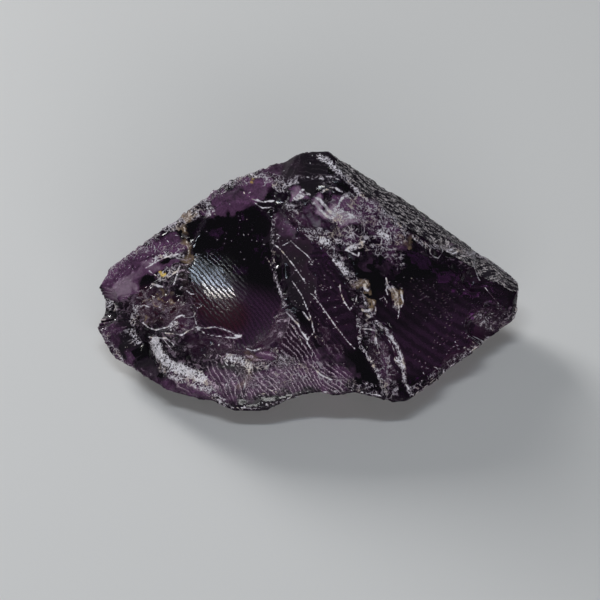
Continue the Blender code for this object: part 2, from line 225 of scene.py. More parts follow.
# Places where the stone is crushed into small facets: how far the crushing reaches from its
# middle line, how strong it is, and the line.
CRUSHED_MM = {
    "crags": (2.4, 1.0, ((-21.4, -1.4, 6.3), (-18.9, -1.9, 8.6), (-16.7, -1.7, 9.9), (-15.0, -4.2, 9.5),
                         (-14.2, -6.6, 8.7), (-13.9, -8.4, 7.8), (-17.2, -6.6, 6.6))),
    "lobe_edge": (0.9, 0.5, ((-24.5, 0.5, 3.8), (-23.7, -2.1, 3.5), (-21.9, -4.6, 2.9),
                             (-19.5, -7.0, 2.8))),
    "left_lip": (0.8, 0.6, ((-24.1, 3.6, 8.7), (-19.8, 5.3, 12.0), (-16.9, 6.0, 13.6),
                            (-14.9, 6.4, 14.7))),
    "upper_lip": (0.8, 0.6, ((-14.8, 7.1, 15.2), (-10.5, 9.2, 17.4), (-8.3, 9.4, 18.3),
                             (-5.7, 9.4, 19.4))),
    "crown": (1.7, 0.9, ((-2.1, 5.6, 18.6), (1.5, 5.2, 18.6), (4.0, 5.3, 18.3), (4.9, 4.2, 17.5),
                         (3.2, 3.1, 17.0))),
    "crown_right": (1.8, 0.5, ((6.0, 4.9, 17.4), (7.9, 4.6, 16.6), (9.8, 3.6, 15.0))),
    "band_high": (0.8, 0.7, ((-5.8, 9.7, 19.6), (-3.4, 7.0, 18.9), (-2.0, 4.4, 18.0), (0.1, 2.2, 16.9))),
    "band_low": (0.8, 0.7, ((0.1, 2.2, 16.9), (3.6, -0.2, 15.3), (4.7, -2.2, 13.9), (6.7, -5.8, 10.7))),
    "strip": (1.0, 0.9, ((6.6, -5.7, 10.7), (7.5, -7.9, 8.8), (8.4, -9.5, 6.9), (9.5, -12.4, 4.5))),
    "mirror_top": (0.6, 0.6, ((10.9, 3.1, 14.3), (13.4, 3.2, 13.2), (16.1, 3.2, 11.4), (19.4, 4.1, 9.4))),
    "tip": (1.0, 0.7, ((20.8, -0.7, 4.4), (23.0, -0.1, 4.8), (24.6, 1.6, 4.8))),
    "mirror_foot": (0.6, 0.6, ((11.1, -12.0, 4.1), (14.1, -9.6, 4.0), (17.3, -5.9, 4.0),
                               (20.9, -2.6, 4.5))),
    "front_edge": (0.5, 0.4, ((-16.2, -10.4, 3.3), (-8.3, -12.8, 3.2), (-4.6, -12.6, 3.9),
                              (10.2, -12.4, 4.1))),
}
# Crushing starts past the photographed side, at these places along +Y, and along the ridges,
# this far from them. How strong it is there, and what the hollow loses of it.
FAR_CRUSH_MM = (5.0, 11.0)
FAR_CRUSHING = 0.45
RIDGE_CRUSH_MM = (0.7, 0.1)
RIDGE_CRUSHING = 0.30
HOLLOW_CRUSH_LOSS = 0.8
# The facets of the crushed places: their width and height, the crushing at which they start and
# are full, and their seed.
FACETS_MM = {
    "wide": (3.4, 0.85, 0.55, 1.0, 31),
    "middle": (1.5, 0.42, 0.25, 0.9, 41),
    "fine": (0.7, 0.22, 0.0, 0.7, 51),
}
FACET_BEND_MM = 0.5
# How far a facet's middle strays from its cell's, and how much it is hollowed, in widths.
FACET_JITTER = 0.45
FACET_BOWL = 0.35
# The deepest and the highest that facets and grit go together.
FACET_RANGE_MM = (-0.9, 0.25)
# Past these crushings the edges of the wide and the middle facets count as ridges.
WIDE_RIDGES_FROM = 0.60
MIDDLE_RIDGES_FROM = 0.45

# Chips along the ridges: how many, their seed, how far left and right they go, in how many groups
# they are cut, how close to a ridge they touch, the radii of their balls, how deep they cut and
# from which radius on they do so in full, how their bottoms wave, how far they lean from the
# surface's own direction, and how low they go.
CHIPS = 420
CHIP_SEED = 7
CHIP_REACH_MM = 23.5
CHIP_GROUPS = 6
CHIP_RIDGE_MM = 0.15
CHIP_RADIUS_MM = (0.35, 2.0)
CHIP_DEPTH_MM = (0.04, 0.17)
CHIP_FULL_RADIUS_MM = 2.0
CHIP_WAVE_MM = 0.10
CHIP_LEAN = 0.35
LOWEST_CHIP_MM = 0.8
# A chip's rim shows as a narrower ridge: its way counts this many times.
CHIP_RIM_SCALE = 4.0
# Two faces that meet at less than this (the sine of the bend) make no ridge, and the way to a
# ridge is never divided by a smaller sine than the second.
SHARP_BEND = 0.3
LEAST_BEND = 0.05
# The least steepness at which a ray meets a surface, for the relief and for the way to a ridge.
LEAST_SLANT = 0.3
LEAST_RIDGE_SLANT = 0.1

# The surface is reached by rays that leave a line inside the stone. Each ray looks at the few
# surfaces that it meets first.
NEAREST_SURFACES = 3
LONGEST_RAY_MM = 99.0
LINE_LEFT_MM = np.array((-14.0, 0.8, 6.2))
LINE_RIGHT_MM = np.array((14.5, 2.2, 6.0))
RINGS = 306
SPOKES = 322
# Turns round the line, from +Y over the top to the front, that get most of the spokes.
SHOWN_FROM = math.radians(50.0)
SHOWN_TO = math.radians(212.0)
SHOWN_SHARE = 0.74

# The photograph's view: its pixels are those of its 600 by 600 frame.
PHOTO_SIDE = 600.0
ELEVATION = math.radians(43.0)
VIEW_DISTANCE_MM = 270.0
LOOK_AT_MM = np.array((-1.07, 0.0, 8.0))
MM_PER_PIXEL = 50.0 / 422.0
# How much a face turns to the view where it starts to be seen, and where it counts in full: for
# the shape and for the marks.
SHAPE_SEEN = (0.0, 0.12)
MARKS_SEEN = (0.02, 0.14)

# Marks on the side that the photograph shows: the half width of each in its pixels, how strong
# it is, and the line that it follows. Inside and outside these shares of its half width a mark
# is whole and gone.
MARK_WHOLE = 0.6
MARK_GONE = 1.5
# How far the outlines of cloudy, stained and dull places stray in pixels, and the finer bends'
# share of that.
MARK_BEND = 8.0
FINE_MARK_BEND_SHARE = 0.5
# White grains and threads.
FROST = {
    "band": (4, 0.46, ((257, 168), (266, 184), (279, 192), (291, 208), (300, 223), (313, 237),
                       (326, 243))),
    "band_low": (5, 0.34, ((326, 243), (336, 256), (345, 270), (356, 283))),
    "band_knot": (3, 1.0, ((322, 239), (328, 243))),
    "band_patch": (3, 0.8, ((335, 260), (341, 265), (346, 273))),
    "crown_left": (9, 0.34, ((268, 180), (282, 190), (298, 184))),
    "crown": (10, 0.20, ((292, 202), (310, 204), (328, 206), (346, 206))),
    "crown_swirl": (6, 0.60, ((336, 211), (347, 215), (341, 221))),
    "crown_clump": (4, 0.85, ((331, 219), (335, 224), (327, 230))),
    "crown_low": (6, 0.40, ((314, 230), (334, 238), (352, 240))),
    # Painted glint of a small facet.
    "triangle_glint": (3, 0.75, ((349, 249), (360, 245))),
    "crown_right": (14, 0.34, ((352, 206), (372, 216), (394, 234))),
    "crown_smoke": (14, 0.12, ((356, 254), (374, 262), (390, 266))),
    "gold": (6, 0.26, ((363, 284), (367, 293), (367, 306), (370, 312))),
    "gold_right": (3, 0.42, ((388, 284), (395, 292), (396, 308))),
    "toe": (9, 0.12, ((150, 376), (170, 388), (190, 392), (212, 396))),
    "crown_grey": (11, 0.28, ((334, 232), (352, 236), (372, 242), (390, 250))),
    "crown_white": (3, 0.9, ((380, 232), (388, 238))),
    "peak_streak": (3, 0.80, ((320, 157), (330, 163), (339, 172))),
    "peak_dots": (2, 0.56, ((339, 172), (348, 182), (358, 192), (370, 202), (386, 213), (406, 233))),
    "peak_foot": (6, 0.22, ((278, 180), (296, 186), (316, 180), (332, 180))),
    "strip_left": (2, 0.52, ((358, 320), (360, 345), (371, 361), (378, 374), (386, 394))),
    "strip_right": (2, 0.56, ((376, 322), (388, 331), (398, 348), (403, 364), (405, 382), (412, 396))),
    "strip_blob": (2.5, 0.9, ((397, 359), (403, 367))),
    "strip_inside": (9, 0.22, ((368, 326), (380, 348), (392, 390))),
    "scuff_high": (5, 0.88, ((155, 342), (158, 352), (167, 363))),
    "scuff_low": (5.5, 0.90, ((174, 367), (187, 371), (202, 378))),
    "scuff_neck": (3, 0.8, ((167, 363), (174, 367))),
    "scuff_skirt": (6, 0.50, ((164, 366), (178, 376), (192, 382), (208, 386))),
    "crags": (15, 0.16, ((128, 322), (148, 306), (166, 298), (176, 312), (186, 334), (176, 342),
                         (160, 350))),
    "crag_clump": (4, 0.62, ((172, 327), (178, 322), (184, 326))),
    "crag_corner": (4, 0.70, ((104, 303), (110, 302), (114, 307))),
    "crag_edge": (3, 0.60, ((137, 307), (133, 320), (131, 330), (138, 342))),
    "crag_net": (5, 0.40, ((162, 277), (171, 269))),
    "left_lip_top": (7, 0.22, ((108, 274), (124, 258), (142, 245), (160, 240))),
    "left_lip_foot": (3, 0.50, ((152, 262), (164, 254), (182, 256))),
    "left_lip_end": (6, 0.24, ((146, 248), (164, 248), (180, 248))),
    "middle_specks": (20, 0.10, ((278, 258), (292, 290), (310, 330))),
    "saddle": (7, 0.50, ((168, 226), (182, 218), (194, 212))),
    "upper_lip_left": (5, 0.50, ((205, 204), (210, 212))),
    "upper_lip_top": (4, 0.26, ((212, 190), (228, 183), (246, 181))),
    "upper_lip_edge": (2, 0.6, ((232, 177), (246, 175), (258, 176))),
    "mirror_top": (2.4, 0.46, ((414, 237), (426, 246), (448, 248), (474, 256))),
    "mirror_edge": (2, 0.56, ((474, 252), (489, 259), (504, 269), (521, 285))),
    "mirror_tip": (2, 0.50, ((520, 286), (518, 306), (514, 320))),
    "tip": (8, 0.18, ((492, 328), (504, 322), (514, 314))),
    "tip_curls": (7, 0.30, ((480, 318), (488, 328))),
    "mirror_foot": (3.5, 0.22, ((412, 390), (432, 376), (452, 362), (480, 342))),
    "mirror_rim": (1.6, 0.26, ((410, 400), (440, 378), (470, 352), (500, 333), (514, 322))),
    "mirror_haze": (9, 0.24, ((392, 250), (400, 262))),
    "apron": (10, 0.20, ((216, 382), (250, 380), (290, 376), (316, 368))),
    "apron_pale": (4, 0.72, ((228, 358), (242, 360), (250, 368))),
    "apron_centre": (4, 0.35, ((250, 366), (276, 364), (284, 360))),
    "apron_high": (6, 0.30, ((276, 352), (290, 362), (306, 374))),
    "apron_right": (7, 0.20, ((310, 366), (330, 380), (360, 386), (390, 392))),
    "apron_foot": (1.5, 0.25, ((219, 400), (234, 409), (256, 409), (290, 399), (316, 394), (350, 391),
                               (400, 400))),
    "toe_edge": (4, 0.46, ((206, 384), (214, 394), (224, 404))),
    "hollow_right": (2, 0.30, ((275, 196), (272, 240), (276, 280), (285, 306))),
    "lobe_border": (5, 0.29, ((100, 318), (108, 344), (124, 366), (140, 378))),
}
# White lines. All are narrower than their half widths by one share, and NO_VEIN is past them all.
VEIN_WIDTH = 0.66
NO_VEIN = 4.0
VEINS = {
    "vein_round": (1.2, 1.0, ((187, 296), (188, 301), (191, 307), (195, 313), (194, 316), (188, 320),
                              (182, 315), (177, 317), (172, 322), (168, 327), (156, 330), (149, 328),
                              (143, 323))),
    "vein_loop": (1.0, 1.0, ((195, 327), (205, 328), (215, 327), (223, 329), (231, 332), (235, 335),
                             (242, 335), (234, 338), (223, 337), (209, 335), (198, 330), (194, 316))),
    "vein_low": (1.1, 1.0, ((165, 333), (175, 334), (182, 335), (188, 331), (193, 329))),
    "vein_left": (1.1, 1.0, ((149, 337), (155, 338), (166, 338), (174, 345))),
    "vein_under": (0.9, 0.8, ((164, 340), (170, 347), (173, 353))),
    "vein_toe": (0.9, 0.7, ((172, 346), (182, 348), (196, 354))),
    "vein_top": (0.9, 0.6, ((138, 308), (144, 305), (151, 308), (157, 306), (163, 309))),
    "vein_high": (1.0, 0.8, ((187, 291), (191, 294), (195, 294))),
    "net_left": (1.0, 0.9, ((149, 271), (158, 277))),
    "net_right": (1.2, 1.0, ((169, 277), (177, 271), (180, 266), (174, 284))),
    "pale_streak": (1.8, 1.0, ((152, 284), (162, 287))),
    "pale_dash": (1.4, 1.0, ((182, 286), (180, 289))),
    "saddle_streak": (1.6, 1.0, ((168, 225), (172, 228), (174, 232))),
    "lip_crescent": (2.0, 1.0, ((203, 200), (206, 195), (212, 192))),
    "lip_slit": (1.2, 0.9, ((146, 268), (154, 263), (166, 257), (178, 254))),
    "streak_one": (2.2, 1.0, ((293, 200), (301, 192), (303, 190))),
    "streak_two": (2.0, 1.0, ((297, 200), (307, 193), (310, 195))),
    "streak_three": (3.0, 1.0, ((318, 198), (323, 204), (327, 208), (332, 213), (336, 216))),
    "streak_four": (2.2, 1.0, ((314, 203), (320, 210), (326, 215), (330, 218))),
    "streak_five": (1.7, 1.0, ((320, 193), (327, 189), (335, 187), (338, 190), (343, 192))),
    "streak_six": (2.2, 1.0, ((348, 196), (341, 199), (339, 205), (334, 209))),
    "streak_seven": (2.2, 1.0, ((334, 215), (341, 211), (348, 213), (354, 217), (345, 219))),
    "streak_eight": (1.0, 0.8, ((331, 195), (338, 198))),
    "pocket_edge": (1.2, 0.8, ((304, 176), (316, 180), (330, 176), (340, 180))),
    # This line and the next: painted glint of a small facet.
    "triangle_glint": (2.2, 1.0, ((346, 250), (355, 245), (364, 242))),
    "triangle_glint_foot": (1.6, 0.9, ((347, 250), (352, 253), (358, 256), (359, 253))),
    "shadow_dash": (1.4, 1.0, ((252, 199), (262, 202), (274, 201))),
    "shadow_curl": (1.2, 0.9, ((255, 203), (262, 208), (273, 207))),
    "split_one": (1.0, 0.95, ((271, 242), (279, 248), (287, 257), (294, 266), (300, 275), (306, 283))),
    "split_hook": (0.8, 0.8, ((276, 234), (280, 236), (275, 242))),
    "split_two": (0.9, 0.9, ((282, 246), (291, 241), (297, 247), (307, 255), (313, 263))),
    "split_three": (0.8, 0.9, ((266, 257), (270, 263), (274, 274), (278, 285), (282, 296), (285, 305))),
    "split_four": (1.0, 1.0, ((292, 281), (297, 288), (302, 296), (307, 308), (311, 318), (314, 332))),
    "split_pair": (1.0, 1.0, ((304, 313), (310, 321))),
    "split_five": (1.0, 1.0, ((316, 290), (314, 296), (320, 304), (327, 314), (334, 324), (348, 342),
                              (355, 349))),
    "split_six": (1.4, 1.0, ((287, 313), (292, 318), (298, 324), (301, 331), (307, 339))),
    "split_seven": (0.9, 0.9, ((290, 322), (296, 332), (301, 341), (303, 348))),
    "split_curve": (1.0, 1.0, ((314, 332), (309, 338), (307, 343), (311, 349), (313, 356))),
    "split_fork": (1.0, 1.0, ((340, 285), (341, 294), (345, 303), (350, 310), (355, 303), (357, 296))),
    "shell_line": (1.4, 1.0, ((401, 291), (402, 297), (403, 303), (401, 307))),
    "shell": (1.2, 0.9, ((386, 278), (388, 285), (386, 290), (388, 295))),
    "shell_crest": (1.5, 1.0, ((392, 287), (397, 294), (398, 301))),
    "shell_tail": (1.2, 0.9, ((398, 303), (399, 310), (398, 318))),
    "shell_dot": (1.8, 1.0, ((395, 304), (395.5, 305.5))),
    "shell_ring": (1.0, 0.8, ((380, 299), (384, 297), (387, 302), (386, 306))),
    "gold_line": (1.4, 1.0, ((362, 329), (369, 329), (377, 331))),
    # This line and the next two: painted highlights on the iron-stained beads.
    "gold_highlight_high": (2.2, 1.0, ((364.6, 284.5), (364.8, 288.5), (367.5, 290.5))),
    "gold_highlight_side": (1.8, 1.0, ((362, 309), (364, 311))),
    "gold_highlight_foot": (2.0, 1.0, ((367, 315), (370, 317))),
    "gold_rim": (1.1, 0.9, ((373.5, 304), (376, 309), (374.5, 315))),
    "gold_crest": (1.1, 0.8, ((357, 286), (365, 280), (369, 286))),
    # This line and the next two: painted highlights on the iron-stained beads.
    "gold_highlight_left": (2.2, 1.0, ((365, 302.5), (366, 304))),
    "gold_highlight_right": (1.9, 1.0, ((373.3, 302), (373.6, 304.5))),
    "gold_highlight_low": (2.4, 1.0, ((366, 311), (370, 310), (372, 309))),
    "strip_line": (1.2, 1.0, ((375, 331), (376, 342), (379, 353))),
    "strip_edge_right": (1.4, 1.0, ((388, 331), (394, 342), (398, 348), (402, 359), (405, 368),
                                    (404, 381), (409, 390))),
    "strip_twin": (1.0, 0.9, ((386, 334), (391, 344), (396, 354))),
    "mirror_ridge": (0.9, 0.6, ((475, 257), (474, 267), (479, 279), (483, 285), (491, 295), (498, 303),
                                (502, 312))),
    "bead_ring": (1.1, 0.9, ((430, 248), (430, 253), (434, 257), (438, 258), (442, 254), (443, 249))),
    "bead_arc": (1.2, 0.9, ((446, 251), (453, 254), (458, 251))),
    "bead_low": (1.4, 1.0, ((461, 256), (468, 256), (472, 254))),
    "mirror_scratch": (0.8, 0.7, ((420, 300), (427, 296))),
    "foot_lines": (0.9, 0.8, ((455, 341), (458, 350), (460, 356))),
    "foot_line_right": (0.9, 0.7, ((468, 336), (474, 343))),
    "hollow_foot": (1.6, 0.9, ((247, 349), (254, 351), (261, 348))),
    "hollow_curl": (1.4, 1.0, ((226, 337), (234, 338), (241, 336))),
    "fan_right": (1.2, 0.9, ((241, 361), (249, 371), (247, 378), (241, 395))),
    "fan_left": (1.0, 0.8, ((240, 364), (233, 376), (222, 390))),
    "foot_edge": (1.0, 0.9, ((219, 401), (234, 408), (256, 408), (290, 398), (316, 393), (350, 390),
                             (400, 399))),
    "foot_edge_right": (0.9, 0.9, ((414, 395), (430, 383), (440, 375), (455, 363), (470, 352),
                                   (485, 341), (500, 329))),
    "lip_streak": (1.4, 0.9, ((184, 227), (186, 236), (187, 244), (189, 252), (186, 262))),
    "apron_line": (1.2, 0.9, ((254, 398), (260, 395), (270, 391), (278, 389))),
    "apron_streak": (1.4, 1.0, ((314, 368), (321, 375), (332, 380))),
    "apron_dots": (1.0, 0.9, ((213, 353), (216, 351), (222, 358), (228, 366))),
}
# Cloudy places, in the mauve colour; past a strength of about 1 they turn to the pale colour, a
# painted sheen. On the thin lips the haze is partly the stone's cloudiness and partly painted
# light that shines through their edges, and the crown's shine places are a painted highlight.
HAZE = {
    # This line and the next five, the lips: partly painted light that shines through their thin edges.
    "upper_lip": (7, 0.8, ((206, 216), (230, 207), (250, 196), (264, 186))),
    "upper_lip_high": (7, 0.8, ((212, 198), (236, 186), (256, 182))),
    "left_lip": (8, 1.25, ((124, 283), (138, 275), (154, 266))),
    "left_lip_end": (9, 1.5, ((108, 291), (118, 292), (128, 287))),
    "left_lip_top": (9, 0.8, ((108, 276), (130, 258), (160, 242))),
    "lip_foot": (3, 0.8, ((148, 270), (162, 267), (176, 262))),
    "middle_patch": (8, 0.62, ((276, 214), (284, 226), (294, 236))),
    "peak_purple": (8, 0.6, ((266, 172), (278, 168))),
    # Painted highlight on the crown, in this line and the next two.
    "crown_shine": (4, 1.5, ((292, 197), (306, 193))),
    "crown_shine_mid": (4, 1.7, ((314, 200), (324, 208), (333, 216))),
    "crown_shine_right": (7, 1.7, ((336, 212), (350, 215), (343, 221))),
    "crown_oval": (8, 0.45, ((302, 215), (314, 219), (326, 224))),
    "crown_mauve": (7, 0.9, ((338, 204), (350, 202), (358, 204))),
    "crown_right": (13, 0.60, ((362, 212), (378, 222), (396, 236))),
    "crown_low": (16, 0.32, ((334, 234), (352, 246), (374, 258), (390, 262))),
    "middle_foot": (8, 0.42, ((318, 356), (336, 362), (352, 372))),
    "crags": (14, 0.25, ((150, 306), (176, 318), (192, 330))),
    # Partly painted light that shines through the lip's thin end.
    "lip_end": (9, 0.75, ((158, 246), (172, 240), (180, 246))),
    "brown_flat": (6, 0.6, ((254, 358), (270, 358))),
    "apron": (14, 0.58, ((190, 384), (230, 386), (270, 384), (310, 372), (340, 380))),
    "toe": (9, 0.45, ((150, 376), (170, 388), (190, 392), (212, 396))),
    "strip": (6, 0.5, ((376, 340), (388, 376))),
    "tip": (7, 0.4, ((494, 326), (508, 320))),
    "lobe_border": (8, 0.52, ((104, 322), (112, 346), (130, 368))),
}
# Dust: the share of the surface's grid points that are specks, how far specks stay from a ridge,
# the waves' values at which a cloud of dust starts and is full, and how much thicker it lies on
# the dusty places.
DUST_SHARE = 0.016
DUST_SEED = 5
DUST_TO_RIDGE_MM = 0.8
DUST_CLOUD = (-0.4, 0.7)
DUSTY_GAIN = 2.5
DUSTY = {
    "hollow": (20, 0.35, ((202, 246), (226, 240), (252, 214))),
    "mirror_low": (18, 0.7, ((424, 366), (462, 342), (490, 322))),
    "mirror_mid": (14, 0.6, ((412, 290), (440, 310))),
    "middle": (14, 0.8, ((290, 230), (318, 276), (332, 316))),
    "lobe": (10, 0.8, ((112, 322), (128, 350), (156, 380))),
    "lip_left": (9, 2.2, ((104, 290), (126, 266), (150, 246), (168, 236))),
    "lip_right": (7, 1.6, ((206, 212), (226, 200), (246, 190))),
    "apron_edge": (9, 1.2, ((176, 404), (214, 416), (262, 404))),
}
# The natural face that the photograph shows from the side.
SKIN = {
    "band": (8, 1.0, ((344, 164), (360, 178), (376, 193), (402, 214), (440, 238), (474, 258),
                      (514, 283))),
}
# Faces that are dull and dark, between clear and cloudy.
DULL = {
    "peak": (14, 0.75, ((286, 168), (300, 166), (320, 168))),
    "lobe": (9, 0.8, ((114, 316), (126, 338), (140, 358), (154, 374))),
    "tip": (5, 0.7, ((498, 326), (508, 320))),
    "flutes": (14, 0.78, ((282, 240), (296, 262), (300, 296))),
    "crown_left": (6, 0.80, ((302, 187), (324, 184))),
}
# Dark pockets with nothing white in them.
POCKETS = {
    "crown_left": (5, 1.0, ((304, 187), (316, 184))),
    "crown_right": (4, 1.0, ((325, 195), (336, 196), (338, 200))),
    "streak_gap": (5, 0.8, ((290, 197), (306, 196))),
    "crown_oval": (7, 0.9, ((303, 216), (316, 220), (324, 223))),
    "saddle": (4, 1.0, ((162, 233), (172, 233))),
    "lip_slit": (2, 1.0, ((155, 262), (168, 260))),
    "hollow_top": (6, 1.0, ((266, 193), (276, 200))),
    "crag_high": (5, 0.9, ((170, 292), (178, 298))),
    "crag_mid": (4, 0.8, ((182, 324), (190, 326))),
    "crag_low": (6, 0.8, ((180, 342), (196, 344), (214, 344))),
    "lobe_gap": (3, 0.9, ((116, 306), (124, 318), (130, 334))),
    "apron_hole": (5, 1.0, ((214, 376), (224, 379))),
    "glint_hole": (5, 0.8, ((246, 180), (257, 181))),
    "middle": (9, 0.9, ((318, 268), (330, 290), (340, 318))),
    "middle_low": (9, 0.8, ((322, 330), (336, 346))),
}
# Iron stains.
STAIN = {
    "lip_streak": (2.4, 0.9, ((184, 226), (185, 234), (186, 243), (189, 250), (188, 257), (184, 263))),
    "saddle_top": (2, 0.9, ((178, 228), (185, 229), (193, 214))),
    "crag_brown": (6, 0.13, ((146, 302), (158, 300), (168, 304))),
    "crag_dim": (12, 0.05, ((146, 300), (170, 312), (190, 300), (196, 262))),
    "crag_fleck": (1.1, 1.0, ((144, 301), (151, 300), (158, 304))),
    "crag_fleck_high": (1.0, 0.9, ((160, 291), (166, 293), (171, 297))),
    "crag_fleck_low": (1.2, 1.0, ((147, 315), (150, 318), (151, 321))),
    "crag_brown_low": (4, 0.12, ((144, 316), (152, 318))),
    "mirror_brown": (3.5, 0.7, ((404, 234), (409, 243))),
    "gold_high": (4.5, 1.0, ((360, 286), (366, 284))),
    "gold_low": (5.0, 1.0, ((368, 300), (370, 309))),
    "gold_right": (3.5, 0.9, ((391, 287), (396, 294), (397, 304))),
    "apron_shell": (5, 0.4, ((244, 362), (250, 372), (244, 384))),
}
# Where the light that comes back up through the stone is reddish.
WARM = {
    "hollow": (17, 0.95, ((202, 296), (218, 308), (230, 316))),
    "crag": (14, 0.9, ((146, 302), (166, 310), (186, 318))),
}
# Painted glints of small yellow crystals: their own yellow, painted bright as a highlight.
GOLD_GLINTS = {
    "crag": (1.1, 1.0, ((160, 272), (163, 276), (165, 274))),
    "lip": (0.8, 1.0, ((252, 178), (252, 183))),
}
# Where light comes back up through the stone.
GLOW = {
    "hollow": (26, 1.0, ((214, 306), (240, 316), (262, 322))),
    "hollow_low": (22, 0.9, ((232, 336), (262, 340))),
    "mirror": (24, 0.75, ((398, 352), (430, 346), (462, 326))),
    "mirror_mid": (26, 0.35, ((400, 318), (440, 308), (480, 300))),
    "middle": (20, 0.6, ((294, 232), (312, 262), (330, 300), (338, 330))),
    "middle_low": (14, 0.4, ((262, 352), (300, 340))),
    "crag": (12, 0.5, ((200, 345), (230, 346))),
    "crag_high": (15, 0.8, ((146, 302), (166, 310), (186, 318))),
    "peak": (12, 0.3, ((272, 176), (290, 170))),
}
# Where ripples show as stripes: there their bump is deeper, on the clear hollow their grooves
# are rougher, and on cloudy and frosted faces their crests are painted in the pale colour, a
# painted sheen.
STRIPED = {
    "apron": (13, 1.0, ((186, 376), (230, 384), (270, 382), (310, 374), (336, 380))),
    "apron_high": (9, 0.8, ((216, 356), (236, 352), (290, 362))),
    "middle_low": (12, 0.8, ((284, 324), (294, 344), (306, 358))),
    "hollow": (15, 0.9, ((190, 272), (232, 291))),
    "hollow_low": (40, 0.35, ((226, 296), (244, 316))),
    "middle_dim": (8, 0.30, ((322, 334), (336, 350))),
    "peak": (13, 0.06, ((286, 168), (300, 166), (320, 168))),
}
# Patches on the side that isn't seen: how strong they are, the waves' values at which they start
# and are full, the finer waves' share, and the length and seed of both waves.
UNSEEN = {
    "frost": (0.26, (-0.1, 0.9), 0.5, (4.2, 61), (1.1, 64)),
    "haze": (0.6, (-0.35, 0.3), 0.4, (3.6, 67), (1.2, 69)),
    "stain": (0.6, (0.45, 0.8), 0.0, (3.3, 62), (1.0, 75)),
    # Stripes here too are a painted sheen on the ripples' crests.
    "stripes": (0.5, (0.1, 0.5), 0.3, (5.2, 68), (1.5, 70)),
}
UNSEEN_RIDGES = 0.5
UNSEEN_RIDGE_MM = (0.9, 0.1)
UNSEEN_RIDGE_PATCH = (-0.2, 0.4)
UNSEEN_GLOW = 0.35
# Ridges go no further than this into the looks.
WIDEST_RIDGE_MM = 2.0
# What makes a face frosted: the way to a vein in its widths, the way to a ridge, the least share
# of a ridge that isn't crushed, the share of stripes, and the dullness.
VEIN_FACES = (2.2, 1.0)
RIDGE_FACES_MM = (0.40, 0.15)
RIDGE_FACES_LEAST = 0.30
STRIPED_FACES = 0.8
DULL_FACES = 0.5
# The share at which a face is frosted, or hazy, and how far patches move it up and down.
FROSTED_FROM = (0.20, 0.15)
HAZY_FROM = (0.30, 0.08)

# The kinds of faces, in the order of the mesh's materials.
CLEAR, HAZY, FROSTED, GROOVED = range(4)
QUARTZ_IOR = 1.544
# Each material's transmission, roughness and specular level, and how high in metres and how
# strongly its fine relief is bumped.
FINISHES = {
    "clear": (0.955, 0.06, 0.5, 0.000028, 0.6),
    "hazy": (0.35, 0.3, 0.12, 0.00005, 0.6),
    "frosted": (0.05, 0.5, 0.10, 0.00008, 0.8),
    "skin": (0.05, 0.45, 0.5, 0.00008, 0.8),
}
# How rough dull faces are.
DULL_ROUGHNESS = 0.95
# The values that the marks group takes: scales per metre, widths in millimetres or in shares.
MARKS_VALUES = {
    "Grain Scale": 4600.0, "Coarse Scale": 1500.0, "Thread Scale": 1050.0, "Thread Width": 0.050,
    "Cell Scale": 1250.0, "Cell Edge": 0.065, "Ridge Width": 0.20, "Stripe Sharpness": 9.0,
    "Groove Share": 0.5,
}
# The colours that the tint group takes besides the base colour, and whose shares it takes.
# Of these, Pale is a painted sheen and Gold paints glints.
TINTS = ("Mauve", "Satin", "Stain", "Pale", "Gold", "Grey", "White", "Cream")
SHARES = ("White", "Bright", "Stripe", "Grain")
# The parts of fine and coarse noise in the frost's grains, and how far threads reach in frost.
GRAIN_PART = 0.45
COARSE_PART = 0.55
THREADS_IN_FROST = 1.25
BRIGHT_THREADS = 0.6
# How far cells are bent, in metres, and the scales per metre of the noises that bend and tint.
CELL_BEND = (0.0009, 0.0009, 0.0009)
CELL_BEND_SCALE = 900.0
CLOUD_SCALE = 520.0
WORN_SCALE = 900.0
WARMTH_SCALE = 620.0
# The narrowest that a ridge shows.
LEAST_RIDGE_MM = 0.01
# The noises' detail and roughness.
NOISES = {
    "grain": (2.0, 0.6),
    "coarse": (3.0, 0.65),
    "thread": (4.0, 0.62),
    "cloud": (4.0, 0.68),
    "worn": (4.0, 0.75),
    "warmth": (3.0, 0.7),
    "skin": (2.0, 0.6),
}
# How far coarse and fine noise push the wave of the stripes along, in radians.
STRIPE_JAG = 7.0
STRIPE_GRAIN = 1.2
# The natural face's streaks: how they are drawn out, their scale, the part of grain in them, and
# how high they stand over the fine relief.
SKIN_DRAWN_OUT = (1.0, 0.24, 1.0)
SKIN_STREAK_SCALE = 2.2
SKIN_GRAIN_PART = 0.08
SKIN_STREAK_HEIGHT = 0.8
# The straight lines of the looks: how steep they are, and their value at 0.
LINES = {
    "frost_bar": (-0.46, 0.82),
    "ridge_crushed": (0.8, 0.2),
    "wave": (0.5, 0.5),
    "stripes_high": (0.9, 0.04),
    "grains_high": (0.98, 0.02),
    "cloud": (1.5, -0.75),
}
